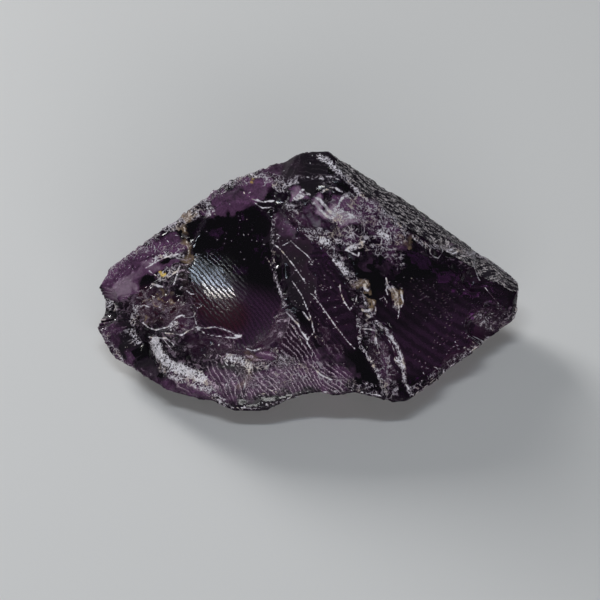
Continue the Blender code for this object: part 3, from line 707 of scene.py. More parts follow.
# The S-curves of the looks: where they start and end and, unless these are 0 and 1, their values.
CURVES = {
    "grain": (0.34, 0.66),
    "grains": (-0.03, 0.05),
    "thread": (0.0, 0.35),
    "thread_grain": (0.0, 0.5, 0.35, 1.0),
    "cell_edge": (0.38, 0.62, 0.0, 1.4),
    "rim": (0.0, -0.03),
    "rim_frost": (0.08, 0.26),
    "ridge_width": (0.44, 0.70, 0.0, 1.5),
    "ridge": (1.0, 0.3),
    "vein_width": (0.3, 0.7, 1.45, 0.72),
    "vein": (1.25, 0.6),
    "bright_grains": (-0.01, 0.15),
    "bright_frost": (0.6, 0.95),
    "dim_frost": (0.15, 0.8, 0.74, 1.0),
    "bright_veins": (0.36, 0.60, 0.3, 1.0),
    "haze": (0.15, 1.0),
    "haze_grain": (0.0, 0.8, 0.6, 1.0),
    "worn": (0.30, 0.50),
    "stripe_grain": (0.0, 0.7, 0.25, 1.0),
    "haze_sheen": (0.95, 1.9, 0.0, 0.5),
    "satin": (0.5, 1.1),
    "stain_cloud": (-0.35, 0.15),
    "warmth": (0.50, 0.66),
    "cool_frost": (0.6, 0.9, 1.0, 0.2),
    "warm_stain": (0.2, 0.7, 0.0, 0.9),
    "gold_grain": (0.0, 0.6, 0.3, 1.0),
    "glow_streak": (0.25, 0.85, 0.42, 1.0),
    "groove": (0.55, 0.25),
    "groove_roughness": (0.1, 0.8, 0.06, 0.42),
    "white_roughness": (0.0, 1.0, 0.25, 0.7),
    "skin_streak": (0.485, 0.56),
    "skin_grain": (0.25, 0.8, 0.16, 1.0),
}

# The stage: its floor and surroundings, the camera's sensor, and the lights' places and sizes in
# metres, powers, the directions of their first sides and their colours.
WORLD_COLOUR = (0.55, 0.58, 0.62, 1.0)
WORLD_STRENGTH = 0.11
FLOOR_HALF_SIDE = 2.0
FLOOR_COLOUR = (0.74, 0.74, 0.73, 1.0)
FLOOR_ROUGHNESS = 0.6
SENSOR_MM = 36.0
LIGHTS = {
    "overhead": ((0.008, -0.070, 0.40), (0.23, 0.024), 0.105, (-0.99, -0.10, 0.0), (0.70, 0.82, 1.0)),
    "overhead_mid": ((-0.031, -0.057, 0.40), (0.225, 0.024), 0.105, (-0.99, -0.10, 0.0),
                     (0.70, 0.82, 1.0)),
    "overhead_bright": ((-0.060, -0.046, 0.40), (0.185, 0.028), 0.185, (-0.99, -0.10, 0.0),
                        (1.0, 0.98, 0.92)),
    "key": ((-0.38, 0.48, 0.25), (0.24, 0.24), 3.4, (1.0, 0.0, 0.0), (1.0, 1.0, 1.0)),
    "front": ((0.05, -0.60, 0.22), (0.60, 0.16), 1.7, (1.0, 0.0, 0.0), (1.0, 1.0, 1.0)),
}


def unit(vector):
    """Each vector divided by its length."""
    return vector / np.linalg.norm(vector, axis=-1, keepdims=True)


def smooth_step(low, high, value):
    """0 at low, 1 at high, and an S-curve between them."""
    share = np.clip((value - low) / (high - low), 0.0, 1.0)
    return share * share * (3.0 - 2.0 * share)


def lattice_value(cell, seed):
    """A fixed random number from -1 to 1 for each whole-number cell, mixed from its bits."""
    x, y, z = (cell[..., axis].astype(np.int64) for axis in range(3))
    mixed = (x * MIX_X) ^ (y * MIX_Y) ^ (z * MIX_Z) ^ (seed * MIX_SEED)
    mixed = (mixed ^ (mixed >> 13)) * MIX_AGAIN & 0xFFFFFFFF
    mixed = (mixed ^ (mixed >> 15)) & 0xFFFFFF
    return mixed / 0x7FFFFF - 1.0


def waves(places, length, seed):
    """Smooth random waves from -1 to 1: lattice values blended between the corners of each cell."""
    scaled = places / length
    cell = np.floor(scaled)
    part = scaled - cell
    part = part * part * (3.0 - 2.0 * part)
    total = np.zeros(places.shape[:-1])
    for step in np.ndindex(2, 2, 2):
        near = np.where(np.array(step) == 1, part, 1.0 - part).prod(axis=-1)
        total += near * lattice_value(cell + np.array(step), seed)
    return total


def facets(places, width, seed):
    """Small tilted facets side by side, one for each cell of a jittered lattice, with steps between.

    The height is that of the plane through the nearest cell's middle, tilted its own way. Also
    returns the way to the facet's edge. Both are in widths.
    """
    scaled = places / width
    cell = np.floor(scaled)
    nearest = np.full(len(places), FAR)
    second = np.full(len(places), FAR)
    owner = np.zeros_like(places)
    offset = np.zeros_like(places)
    for step in np.ndindex(3, 3, 3):
        corner = cell + np.array(step) - 1.0
        jitter = np.stack([lattice_value(corner, seed + axis) for axis in range(3)], axis=1)
        away = scaled - corner - 0.5 - FACET_JITTER * jitter
        way = (away ** 2).sum(axis=1)
        closer = way < nearest
        second = np.minimum(second, np.maximum(nearest, way))
        nearest = np.where(closer, way, nearest)
        owner = np.where(closer[:, None], corner, owner)
        offset = np.where(closer[:, None], away, offset)
    tilt = np.stack([lattice_value(owner, seed + axis) for axis in range(3, 6)], axis=1)
    return (tilt * offset).sum(axis=1) + FACET_BOWL * nearest, np.sqrt(second) - np.sqrt(nearest)


def layer(places, name, turn=0):
    """A named layer of random waves; each turn gives another one of the same length."""
    length, seed = LAYERS[name]
    return waves(places, length, seed + turn)


def view_axes():
    """Where the photograph was taken from, and its right, up and forward directions."""
    back = np.array((0.0, -math.cos(ELEVATION), math.sin(ELEVATION)))
    up = np.array((0.0, math.sin(ELEVATION), math.cos(ELEVATION)))
    return LOOK_AT_MM + back * VIEW_DISTANCE_MM, np.array((1.0, 0.0, 0.0)), up, -back


def photo_pixels(places):
    """The photograph's pixel of each place."""
    eye, right, up, forward = view_axes()
    offset = places - eye
    scale = VIEW_DISTANCE_MM / MM_PER_PIXEL / (offset @ forward)
    return PHOTO_SIDE / 2.0 + np.stack((offset @ right * scale, -(offset @ up) * scale), axis=1)


def way_to_line(places, line):
    """Distance of each place or pixel to a bent line."""
    shortest = np.full(len(places), np.inf)
    corners = np.array(line, dtype=float)
    for start, end in zip(corners[:-1], corners[1:]):
        along = end - start
        share = np.clip((places - start) @ along / (along @ along), 0.0, 1.0)
        away = np.linalg.norm(places - start - share[:, None] * along, axis=1)
        shortest = np.minimum(shortest, away)
    return shortest


def cover(table, places):
    """How strongly a table's soft-edged lines cover each place or pixel."""
    total = np.zeros(len(places))
    for half_width, strength, line in table.values():
        whole, gone = MARK_WHOLE * half_width, MARK_GONE * half_width
        total = np.maximum(total, strength * smooth_step(gone, whole, way_to_line(places, line)))
    return total


def unseen_patches(name, places):
    """How strongly the side that isn't seen has a kind of patch: two lengths of waves, past a bar."""
    strength, bounds, fine_share, coarse, fine = UNSEEN[name]
    return strength * smooth_step(*bounds, waves(places, *coarse) + fine_share * waves(places, *fine))


def break_normal(name):
    """The outward direction of the plane through a break's three corners."""
    first, second, third = (np.array(CORNERS_MM[corner]) for corner in BREAKS[name])
    normal = unit(np.cross(second - first, third - first))
    return normal if normal @ (first - INSIDE_MM) > 0 else -normal


def hull_planes():
    """Outward normals and offsets of the planes of the convex body of the outer corners."""
    body = bmesh.new()
    for place in CORNERS_MM.values():
        body.verts.new(Vector(place))
    bmesh.ops.convex_hull(body, input=list(body.verts))
    bmesh.ops.recalc_face_normals(body, faces=list(body.faces))
    rows = [tuple(face.normal) + (face.normal.dot(face.verts[0].co),) for face in body.faces]
    body.free()
    rows = np.unique(np.round(np.array(rows), 3), axis=0)
    return unit(rows[:, :3]), rows[:, 3]


def ray_grid():
    """Start and direction of the ray of each grid point.

    Ring by ring the start moves along the line inside the stone while the direction swings
    from -X over the upright to +X; spoke by spoke it turns once round the line, slowly where
    the surface shows.
    """
    along = (np.arange(RINGS) + 1.0) / (RINGS + 1.0)
    shown = round(SPOKES * SHOWN_SHARE)
    front = np.linspace(SHOWN_FROM, SHOWN_TO, shown, endpoint=False)
    rest = np.linspace(SHOWN_TO, SHOWN_FROM + 2.0 * math.pi, SPOKES - shown, endpoint=False)
    turn = np.concatenate((front, rest))
    lean, spin = np.meshgrid(math.pi * along, turn, indexing="ij")
    starts = LINE_LEFT_MM + (LINE_RIGHT_MM - LINE_LEFT_MM) * along[:, None, None]
    starts = np.broadcast_to(starts, (RINGS, SPOKES, 3)).reshape(-1, 3)
    directions = np.stack(
        (-np.cos(lean), np.sin(lean) * np.cos(spin), np.sin(lean) * np.sin(spin)), axis=-1
    ).reshape(-1, 3)
    ends = np.array(((-1.0, 0.0, 0.0), (1.0, 0.0, 0.0)))
    starts = np.concatenate((starts, (LINE_LEFT_MM, LINE_RIGHT_MM)))
    return starts, np.concatenate((directions, ends))


def grid_normals(points):
    """The outward direction at each grid point, from its neighbours; the two ends face outward."""
    grid = points[:-2].reshape(RINGS, SPOKES, 3)
    onward = np.gradient(grid, axis=0)
    round_it = np.roll(grid, -1, axis=1) - np.roll(grid, 1, axis=1)
    normals = unit(np.cross(round_it, onward).reshape(-1, 3))
    return np.concatenate((normals, ((-1.0, 0.0, 0.0), (1.0, 0.0, 0.0))))


def plane_exits(starts, directions, normals, offsets):
    """Distance along each ray to each plane that it leaves through."""
    steepness = directions @ normals.T
    reach = offsets - starts @ normals.T
    far = np.full_like(reach, np.inf)
    return np.divide(reach, steepness, out=far, where=steepness > LEAST_STEEPNESS), steepness


def flake_entry(starts, directions, flake):
    """Distance along each ray to a drawn-out ball, in space squeezed along its line to a ball."""
    centre, radius, along, stretch = flake
    line = unit(np.array(along))
    squeeze = np.eye(3) + (1.0 / stretch - 1.0) * np.outer(line, line)
    offset = (starts - np.array(centre)) @ squeeze
    heading = directions @ squeeze
    pace = np.einsum("ij,ij->i", heading, heading)
    closing = np.einsum("ij,ij->i", offset, heading)
    outside = np.einsum("ij,ij->i", offset, offset) - radius * radius
    inner = closing * closing - pace * outside
    reach = (-closing - np.sqrt(np.maximum(inner, 0.0))) / pace
    reach = np.where((inner > 0.0) & (reach > 0.0), reach, np.inf)
    met = offset + heading * np.where(np.isfinite(reach), reach, 0.0)[:, None]
    inward = unit(-met @ squeeze)
    return reach, np.einsum("ij,ij->i", directions, inward), inward


def ripple_table(normals):
    """Each surface's ripples: strike point, spacing and height, planes first and then flakes."""
    names = []
    for normal in normals:
        likeness = {name: float(normal @ break_normal(name)) for name in BREAKS}
        best = max(likeness, key=likeness.get)
        names.append(best if likeness[best] > SAME_BREAK else "other")
    names += list(FLAKES_MM)
    rows = [RIPPLES_MM.get(name, OTHER_RIPPLE_MM) for name in names]
    strikes = np.array([row[0] for row in rows])
    return names, strikes, np.array([row[1] for row in rows]), np.array([row[2] for row in rows])


def skin_line():
    """The direction of the natural face's long edge."""
    return unit(np.array(CORNERS_MM["edge_tip"]) - np.array(CORNERS_MM["peak_right"]))


def skin_grooves(places):
    """How many fine grooves of the natural face lie between each place and its upper edge."""
    across = places @ np.cross(skin_line(), break_normal("skin"))
    return (across + GROOVE_BEND_MM * layer(places, "groove_bend")) / FINE_GROOVE_LENGTH_MM


def along_skin(places):
    """How far each place lies down the natural face, in widths of its fine grooves."""
    return places @ skin_line() / FINE_GROOVE_LENGTH_MM


def relief(places, surface, names, strikes, spacing, height):
    """Height over the smooth faces, and the ripples' count from the strike point.

    Swells and lumps of several lengths, grooves along the natural skin, and on every break
    rings round its strike point, bent by slow waves.
    """
    name = np.array(names)[surface]
    is_skin, is_hollow = name == "skin", name == "hollow"
    is_calm = np.isin(name, CALM)
    is_flake = np.isin(name, list(FLAKES_MM)) & ~is_calm
    far_side = smooth_step(*FAR_LUMPS_MM, places[:, 1]) * (1.0 - is_skin)
    own = places + surface[:, None] * SURFACE_SHIFT_MM
    lumps = (SHOWN_LUMPS + (1.0 - SHOWN_LUMPS) * far_side) * (1.0 - CALM_LUMP_LOSS * is_calm)
    total = SWELL_MM * (1.0 - HOLLOW_SWELL_LOSS * is_hollow) * layer(places, "swell")
    total += LUMP_MM * lumps * layer(own, "lump")
    total += FLAKE_WAVE_MM * is_flake * layer(own, "flake")
    wander = layer(own, "wander") + FINE_WANDER_SHARE * layer(own, "fine_wander")
    wander *= RIPPLE_WANDER_MM * (1.0 - CALM_BEND_LOSS * is_calm)
    count = (np.linalg.norm(places - strikes[surface], axis=1) + wander) / spacing[surface]
    patchy = 1.0 - RIPPLE_PATCH_SHARE + RIPPLE_PATCH_SHARE * layer(own, "ripple_patch")
    total += height[surface] * patchy * np.sin(2.0 * math.pi * count)
    grooves = 2.0 * math.pi * skin_grooves(places)
    total += GROOVE_MM * is_skin * np.sin(grooves * FINE_GROOVE_LENGTH_MM / GROOVE_LENGTH_MM)
    total += FINE_GROOVE_MM * is_skin * np.sin(grooves)
    return total, count


def edge_chips(starts, directions, reach, points, normals, ridge):
    """Moves the surface in to the chips along its ridges and returns the way to each chip's rim.

    Each chip is the shallow cap of a ball that touches a ridge; sizes and places are drawn by
    a fixed seed.
    """
    draw = np.random.default_rng(CHIP_SEED)
    inside = (points[:, 2] > LOWEST_CHIP_MM) & (np.abs(points[:, 0]) < CHIP_REACH_MM)
    picked = draw.choice(np.flatnonzero((ridge < CHIP_RIDGE_MM) & inside), CHIPS, replace=False)
    radius = draw.uniform(*CHIP_RADIUS_MM, CHIPS)
    depth = draw.uniform(*CHIP_DEPTH_MM, CHIPS) * np.minimum(1.0, radius / CHIP_FULL_RADIUS_MM)
    lean = unit(normals[picked] + CHIP_LEAN * draw.normal(size=(CHIPS, 3)))
    centres = points[picked] + lean * (radius - depth)[:, None]
    gap = np.full(len(starts), FAR)
    wave = CHIP_WAVE_MM * layer(points, "chip")
    for group in np.array_split(np.arange(CHIPS), CHIP_GROUPS):
        closing = np.einsum("ij,ij->i", starts, directions)[:, None] - directions @ centres[group].T
        away = (starts ** 2).sum(axis=1)[:, None] - 2.0 * starts @ centres[group].T
        away += (centres[group] ** 2).sum(axis=1) - radius[group] ** 2
        inner = closing * closing - away
        entry = np.where(inner > 0.0, -closing - np.sqrt(np.maximum(inner, 0.0)), np.inf)
        nearest = np.where(entry > 0.0, entry, np.inf).min(axis=1) + wave
        gap = np.minimum(gap, np.abs(reach - nearest))
        reach = np.minimum(reach, nearest)
    return reach, gap


def broken_surface(starts, directions):
    """Distance along each ray to the breaks and flakes, before any chips and crushing.

    A ray goes to the nearest of: the planes of the outer corners, on the way out, and the
    flakes' balls, on the way in. Each of those is first moved by its own relief, so a ridge,
    where two of them meet, wanders as a broken edge does. Also returns the name of the surface
    that the ray ends on, its ripple count, and the way to the ridge.
    """
    normals, offsets = hull_planes()
    names, strikes, spacing, height = ripple_table(normals)
    reach, steepness = plane_exits(starts, directions, normals, offsets)
    entries = [flake_entry(starts, directions, flake) for flake in FLAKES_MM.values()]
    flake_reach, flake_steepness, flake_facings = (np.stack(part, axis=1) for part in zip(*entries))
    reach = np.concatenate((reach, flake_reach), axis=1)
    steepness = np.concatenate((steepness, flake_steepness), axis=1)
    facings = np.broadcast_to(normals, (len(starts), *normals.shape))
    facings = np.concatenate((facings, flake_facings), axis=1)
    nearest = np.argpartition(reach, NEAREST_SURFACES, axis=1)[:, :NEAREST_SURFACES]
    rows = np.arange(len(starts))
    moved, counts = [], []
    for surface in nearest.T:
        length = reach[rows, surface]
        length = np.where(np.isfinite(length), length, LONGEST_RAY_MM)
        slant = np.maximum(steepness[rows, surface], LEAST_SLANT)
        places = starts + directions * length[:, None]
        rise, count = relief(places, surface, names, strikes, spacing, height)
        moved.append(length + rise * smooth_step(*RELIEF_FROM_MM, places[:, 2]) / slant)
        counts.append(count)
    moved, counts = np.stack(moved, axis=1), np.stack(counts, axis=1)
    first, second = np.argsort(moved, axis=1)[:, :2].T
    own, other = nearest[rows, first], nearest[rows, second]
    length = moved[rows, first]
    bend = np.linalg.norm(np.cross(facings[rows, own], facings[rows, other]), axis=1)
    slant = np.maximum(steepness[rows, other], LEAST_RIDGE_SLANT)
    gap = (moved[rows, second] - length) * slant / np.maximum(bend, LEAST_BEND)
    gap = np.where(bend > SHARP_BEND, gap, FAR)
    return length, np.array(names)[own], counts[rows, first], gap


def crushing(points, names, gap):
    """How crushed each place is, from 0 to 1: along the crushed lines, the ridges and the far side."""
    seen = smooth_step(*SHAPE_SEEN, -grid_normals(points) @ view_axes()[3])
    far_side = smooth_step(*FAR_CRUSH_MM, points[:, 1]) * (1.0 - seen)
    crushed = np.maximum(cover(CRUSHED_MM, points), FAR_CRUSHING * far_side)
    crushed = np.maximum(crushed, RIDGE_CRUSHING * smooth_step(*RIDGE_CRUSH_MM, gap))
    return crushed * (1.0 - HOLLOW_CRUSH_LOSS * (names == "hollow"))


def crushed_relief(points, crushed):
    """Height of the crushed places' facets and grit, and the way to the edges of the larger facets."""
    bends = [layer(points, "facet_bend", axis) for axis in range(3)]
    bent = points + FACET_BEND_MM * np.stack(bends, axis=1)
    rise = GRIT_MM * crushed * layer(points, "grit")
    edges = {}
    for name, (width, height, start, full, seed) in FACETS_MM.items():
        tilt, edge = facets(points if name == "fine" else bent, width, seed)
        rise += height * smooth_step(start, full, crushed) * tilt
        edges[name] = width * edge
    wide = np.where(crushed > WIDE_RIDGES_FROM, edges["wide"], FAR)
    middle = np.where(crushed > MIDDLE_RIDGES_FROM, edges["middle"], FAR)
    return np.clip(rise, *FACET_RANGE_MM), np.minimum(wide, middle)


def stone_surface():
    """The stone as a function of ring and spoke.

    Each ray goes from the line inside the stone to its breaks and flakes. Then chips come off
    the ridges, and the crushed places get their facets, inside the solid's own box. Returns the
    points and, for each, its surface's name, ripple count, way to the ridge and crushing.
    """
    starts, directions = ray_grid()
    length, names, count, gap = broken_surface(starts, directions)
    points = starts + directions * length[:, None]
    chipped, rim = edge_chips(starts, directions, length, points, grid_normals(points), gap)
    solid = smooth_step(*CHIPS_FROM_MM, points[:, 2])
    length = length + (chipped - length) * solid
    gap = np.minimum(gap, CHIP_RIM_SCALE * rim)
    points = starts + directions * length[:, None]
    crushed = crushing(points, names, gap)
    rise, crest = crushed_relief(points, crushed)
    points = points + directions * (rise * solid)[:, None]
    points = np.clip(points, *(np.array(CAD_BOX) / METRES_PER_MM))
    points[:, 2] = np.maximum(points[:, 2], 0.0)
    return points, names, count, np.minimum(gap, crest), crushed


def grid_faces():
    """Quads between neighbouring rings and spokes, and a fan of triangles round each end."""
    ring, spoke = np.meshgrid(np.arange(RINGS - 1), np.arange(SPOKES), indexing="ij")
    ring, spoke = ring.ravel(), spoke.ravel()
    after = (spoke + 1) % SPOKES
    near, far = ring * SPOKES, (ring + 1) * SPOKES
    quads = np.stack((near + spoke, near + after, far + after, far + spoke), axis=1)
    spoke = np.arange(SPOKES)
    after = (spoke + 1) % SPOKES
    left, right = RINGS * SPOKES, RINGS * SPOKES + 1
    last = (RINGS - 1) * SPOKES
    left_fan = np.stack((np.full(SPOKES, left), after, spoke), axis=1)
    right_fan = np.stack((np.full(SPOKES, right), last + spoke, last + after), axis=1)
    return quads, np.concatenate((left_fan, right_fan))


def stone_mesh(points):
    """A closed mesh of the grid, faces outward."""
    quads, fans = grid_faces()
    mesh = bpy.data.meshes.new("amethyst_stone")
    mesh.vertices.add(len(points))
    mesh.vertices.foreach_set("co", (points * METRES_PER_MM).astype(np.float32).ravel())
    corners = np.concatenate((quads.ravel(), fans.ravel()))
    mesh.loops.add(len(corners))
    mesh.loops.foreach_set("vertex_index", corners.astype(np.int32))
    sizes = np.concatenate((np.full(len(quads), 4), np.full(len(fans), 3)))
    mesh.polygons.add(len(sizes))
    firsts = np.concatenate(((0,), np.cumsum(sizes)[:-1]))
    mesh.polygons.foreach_set("loop_start", firsts.astype(np.int32))
    mesh.polygons.foreach_set("use_smooth", np.ones(len(sizes), dtype=bool))
    mesh.update(calc_edges=True)
    mesh.validate()
    return mesh


def face_mean(values):
    """The mean of a value of the grid points over each face."""
    quads, fans = grid_faces()
    return np.concatenate((values[quads].mean(axis=1), values[fans].mean(axis=1)))


def seen_marks(normals, points, names, gap):
    """Each mark's strength at each point, by name.

    Where the photograph shows the stone these are the tables' marks, elsewhere they are patches.
    The outlines of the larger marks are bent by waves.
    """
    seen = smooth_step(*MARKS_SEEN, -normals @ view_axes()[3])
    unseen = 1.0 - seen
    pixels = photo_pixels(points)
    bends = [
        layer(points, "mark_bend", turn) + FINE_MARK_BEND_SHARE * layer(points, "fine_mark_bend", turn)
        for turn in range(2)
    ]
    loose = pixels + MARK_BEND * np.stack(bends, axis=1)
    open_dark = 1.0 - cover(POCKETS, loose) * seen
    ridges = smooth_step(*UNSEEN_RIDGE_MM, gap)
    ridges *= smooth_step(*UNSEEN_RIDGE_PATCH, layer(points, "ridge_patch"))
    patches = np.maximum(unseen_patches("frost", points), UNSEEN_RIDGES * ridges)
    vein = np.full(len(points), NO_VEIN)
    for half_width, strength, line in VEINS.values():
        ways = way_to_line(pixels, line) / (VEIN_WIDTH * half_width) + (1.0 - strength)
        vein = np.minimum(vein, np.where(seen > 0.5, ways, NO_VEIN))
    draw = np.random.default_rng(DUST_SEED).random(len(points))
    crowd = smooth_step(*DUST_CLOUD, layer(points, "dust_cloud"))
    crowd += DUSTY_GAIN * cover(DUSTY, pixels) * seen
    speck = (draw < DUST_SHARE * crowd) & (gap > DUST_TO_RIDGE_MM)
    return {
        "frost": np.maximum(cover(FROST, pixels) * seen * open_dark, patches * unseen),
        "vein": np.where(speck, 0.0, vein),
        "haze": np.maximum(cover(HAZE, loose) * seen, unseen_patches("haze", points) * unseen),
        "stain": np.maximum(cover(STAIN, loose) * seen, unseen_patches("stain", points) * unseen),
        "striped": np.maximum(cover(STRIPED, pixels) * seen, unseen_patches("stripes", points) * unseen),
        "glow": np.maximum(cover(GLOW, pixels) * seen, UNSEEN_GLOW * unseen),
        "dull": cover(DULL, loose) * seen,
        "gold": cover(GOLD_GLINTS, pixels) * seen,
        "warm": cover(WARM, pixels) * seen,
        "skin": np.maximum(names == "skin", cover(SKIN, pixels) * seen),
        "open": open_dark,
    }


def mark_surface(mesh, points, names, count, gap, crushed):
    """Gives the mesh its marks and says which of its faces are clear, hazy, frosted or skin."""
    normals = np.zeros(len(points) * 3, dtype=np.float32)
    mesh.vertices.foreach_get("normal", normals)
    found = seen_marks(normals.reshape(-1, 3), points, names, gap)
    is_skin, is_open = found.pop("skin"), found.pop("open")
    columns = {
        **found, "count": count, "ridge": np.minimum(gap, WIDEST_RIDGE_MM),
        "crushed": crushed * is_open, "groove": skin_grooves(points), "along": along_skin(points),
    }
    for name, values in columns.items():
        attribute = mesh.attributes.new(name, "FLOAT", "POINT")
        attribute.data.foreach_set("value", values.astype(np.float32))
    ridges = smooth_step(*RIDGE_FACES_MM, gap) * (RIDGE_FACES_LEAST + (1.0 - RIDGE_FACES_LEAST) * crushed)
    stripes = STRIPED_FACES * found["striped"] * (names != "hollow") * (found["dull"] < DULL_FACES)
    veins = smooth_step(*VEIN_FACES, found["vein"])
    white = np.maximum.reduce((found["frost"], veins, ridges, stripes, found["gold"]))
    patchy = face_mean(layer(points, "edge_patch"))
    frosted = face_mean(white) + FROSTED_FROM[1] * patchy > FROSTED_FROM[0]
    frosted |= face_mean(found["dull"]) > DULL_FACES
    hazy = face_mean(found["haze"]) + HAZY_FROM[1] * patchy > HAZY_FROM[0]
    index = np.where(frosted, FROSTED, np.where(hazy, HAZY, CLEAR))
    index = np.where(face_mean(is_skin) > 0.5, GROOVED, index)
    mesh.polygons.foreach_set("material_index", index.astype(np.int32))


class Nodes:
    """A short hand for one node tree."""

    def __init__(self, tree):
        self.tree = tree

    def put(self, socket, value):
        """Links a socket to another one, or gives it a number, a vector or a colour."""
        if isinstance(value, bpy.types.NodeSocket):
            self.tree.links.new(value, socket)
        else:
            socket.default_value = value

    def add(self, kind, values=None, **settings):
        """A new node with its settings, and with its inputs linked or set."""
        node = self.tree.nodes.new(kind)
        for name, value in settings.items():
            setattr(node, name, value)
        for name, value in (values or {}).items():
            self.put(node.inputs[name], value)
        return node

    def place(self):
        """The place in the stone."""
        return self.add("ShaderNodeTexCoord").outputs["Object"]

    def mark(self, name):
        """The strength of one of the mesh's marks."""
        return self.add("ShaderNodeAttribute", attribute_name=name).outputs["Fac"]

    def math(self, operation, first, second=0.0, third=0.0):
        node = self.add("ShaderNodeMath", {0: first, 1: second, 2: third}, operation=operation)
        return node.outputs[0]

    def times(self, first, second):
        return self.math("MULTIPLY", first, second)

    def most(self, first, second):
        return self.math("MAXIMUM", first, second)

    def line(self, name, value):
        """One of the straight lines."""
        return self.math("MULTIPLY_ADD", value, *LINES[name])

    def step(self, value, low, high, to_low=0.0, to_high=1.0):
        """An S-curve from one value at low to another at high."""
        names = {"Value": value, "From Min": low, "From Max": high, "To Min": to_low, "To Max": to_high}
        return self.add("ShaderNodeMapRange", names, interpolation_type="SMOOTHSTEP").outputs["Result"]

    def curve(self, name, value):
        """One of the S-curves."""
        return self.step(value, *CURVES[name])

    def noise(self, name, place, scale):
        """One of the noises."""
        detail, roughness = NOISES[name]
        values = {"Vector": place, "Scale": scale, "Detail": detail, "Roughness": roughness}
        return self.add("ShaderNodeTexNoise", values).outputs["Fac"]

    def mix(self, share, first, second):
        """The first colour with a share of the second over it: the node's sockets 0, 6 and 7."""
        return self.add("ShaderNodeMix", {0: share, 6: first, 7: second}, data_type="RGBA").outputs[2]


def new_group(name, *kinds):
    """A shader group with its sockets; returns it, its nodes, its given values and its results."""
    group = bpy.data.node_groups.new(name, "ShaderNodeTree")
    for way, kind, sockets in kinds:
        for socket, default in sockets.items():
            made = group.interface.new_socket(socket, in_out=way, socket_type="NodeSocket" + kind)
            if default is not None:
                made.default_value = default
    nodes = Nodes(group)
    return group, nodes, nodes.add("NodeGroupInput").outputs, nodes.add("NodeGroupOutput").inputs


def marks_group():
    """Shader group: where the stone is white, striped or grainy, and how high its fine relief is.

    White is the most of three masks. Frost is grains, where fine and coarse noise together pass a
    bar that sinks with the frost, and threads, where a bent noise is close to its middle. Ridges
    and veins are near their lines, as wide as coarse noise lets them be. Cell edges are the thin
    bright rims of small crushed facets: bent cells, shown where frost and coarse noise allow.
    """
    outputs = dict.fromkeys(("White", "Bright", "Stripe", "Wave", "Grain", "Height"))
    group, nodes, given, made = new_group(
        "break_marks", ("OUTPUT", "Float", outputs), ("INPUT", "Float", MARKS_VALUES),
    )
    place = nodes.place()
    grain = nodes.curve("grain", nodes.noise("grain", place, given["Grain Scale"]))
    coarse = nodes.noise("coarse", place, given["Coarse Scale"])
    frost = nodes.mark("frost")
    mixed = nodes.math("ADD", nodes.times(grain, GRAIN_PART), nodes.times(coarse, COARSE_PART))
    over = nodes.math("SUBTRACT", mixed, nodes.line("frost_bar", frost))
    grains = nodes.curve("grains", over)
    off_middle = nodes.math("SUBTRACT", nodes.noise("thread", place, given["Thread Scale"]), 0.5)
    thread_share = nodes.math("DIVIDE", nodes.math("ABSOLUTE", off_middle), given["Thread Width"])
    shown = nodes.math("SUBTRACT", nodes.times(frost, THREADS_IN_FROST), thread_share)
    threads = nodes.times(nodes.curve("thread", shown), nodes.curve("thread_grain", grain))
    bend = nodes.add("ShaderNodeTexNoise", {"Vector": place, "Scale": CELL_BEND_SCALE, "Detail": 2.0})
    bend_values = {0: bend.outputs["Color"], 1: CELL_BEND, 2: place}
    bent = nodes.add("ShaderNodeVectorMath", bend_values, operation="MULTIPLY_ADD")
    cell_values = {"Vector": bent.outputs[0], "Scale": given["Cell Scale"]}
    cells = nodes.add("ShaderNodeTexVoronoi", cell_values, feature="DISTANCE_TO_EDGE").outputs["Distance"]
    cell_edge = nodes.times(given["Cell Edge"], nodes.curve("cell_edge", coarse))
    rim = nodes.curve("rim", nodes.math("SUBTRACT", cells, cell_edge))
    threads = nodes.most(threads, nodes.times(rim, nodes.curve("rim_frost", frost)))
    ridge_width = nodes.times(given["Ridge Width"], nodes.curve("ridge_width", coarse))
    crushed = nodes.mark("crushed")
    ridge_width = nodes.times(ridge_width, nodes.line("ridge_crushed", crushed))
    ridge = nodes.mark("ridge")
    ridge = nodes.math("DIVIDE", ridge, nodes.math("ADD", ridge_width, LEAST_RIDGE_MM))
    ridge = nodes.curve("ridge", ridge)
    vein = nodes.curve("vein", nodes.times(nodes.mark("vein"), nodes.curve("vein_width", coarse)))
    white = nodes.most(nodes.most(grains, threads), nodes.most(ridge, vein))
    bright = nodes.most(nodes.curve("bright_grains", over), nodes.times(threads, BRIGHT_THREADS))
    bright = nodes.most(bright, nodes.curve("bright_frost", frost))
    bright = nodes.times(bright, nodes.curve("dim_frost", frost))
    bright = nodes.most(bright, nodes.times(vein, nodes.curve("bright_veins", coarse)))
    jag = nodes.math("MULTIPLY_ADD", coarse, STRIPE_JAG, nodes.times(grain, STRIPE_GRAIN))
    turn = nodes.math("MULTIPLY_ADD", nodes.mark("count"), 2.0 * math.pi, jag)
    wave = nodes.line("wave", nodes.math("SINE", turn))
    # The stripe is a thin line on each ripple's crest, which the tints paint as sheen.
    stripe = nodes.math("POWER", wave, given["Stripe Sharpness"])
    height = nodes.step(wave, 0.0, given["Groove Share"])
    height = nodes.times(height, nodes.line("stripes_high", nodes.mark("striped")))
    rough = nodes.times(nodes.math("ADD", grain, coarse), nodes.line("grains_high", crushed))
    height = nodes.math("ADD", height, rough)
    for name, socket in zip(outputs, (white, bright, stripe, wave, grain, height)):
        nodes.put(made[name], socket)
    return group


def colour_setting(name, description, default):
    return FloatVectorProperty(
        name=name, description=description, default=default, subtype="COLOR", size=3, min=0.0, max=1.0
    )


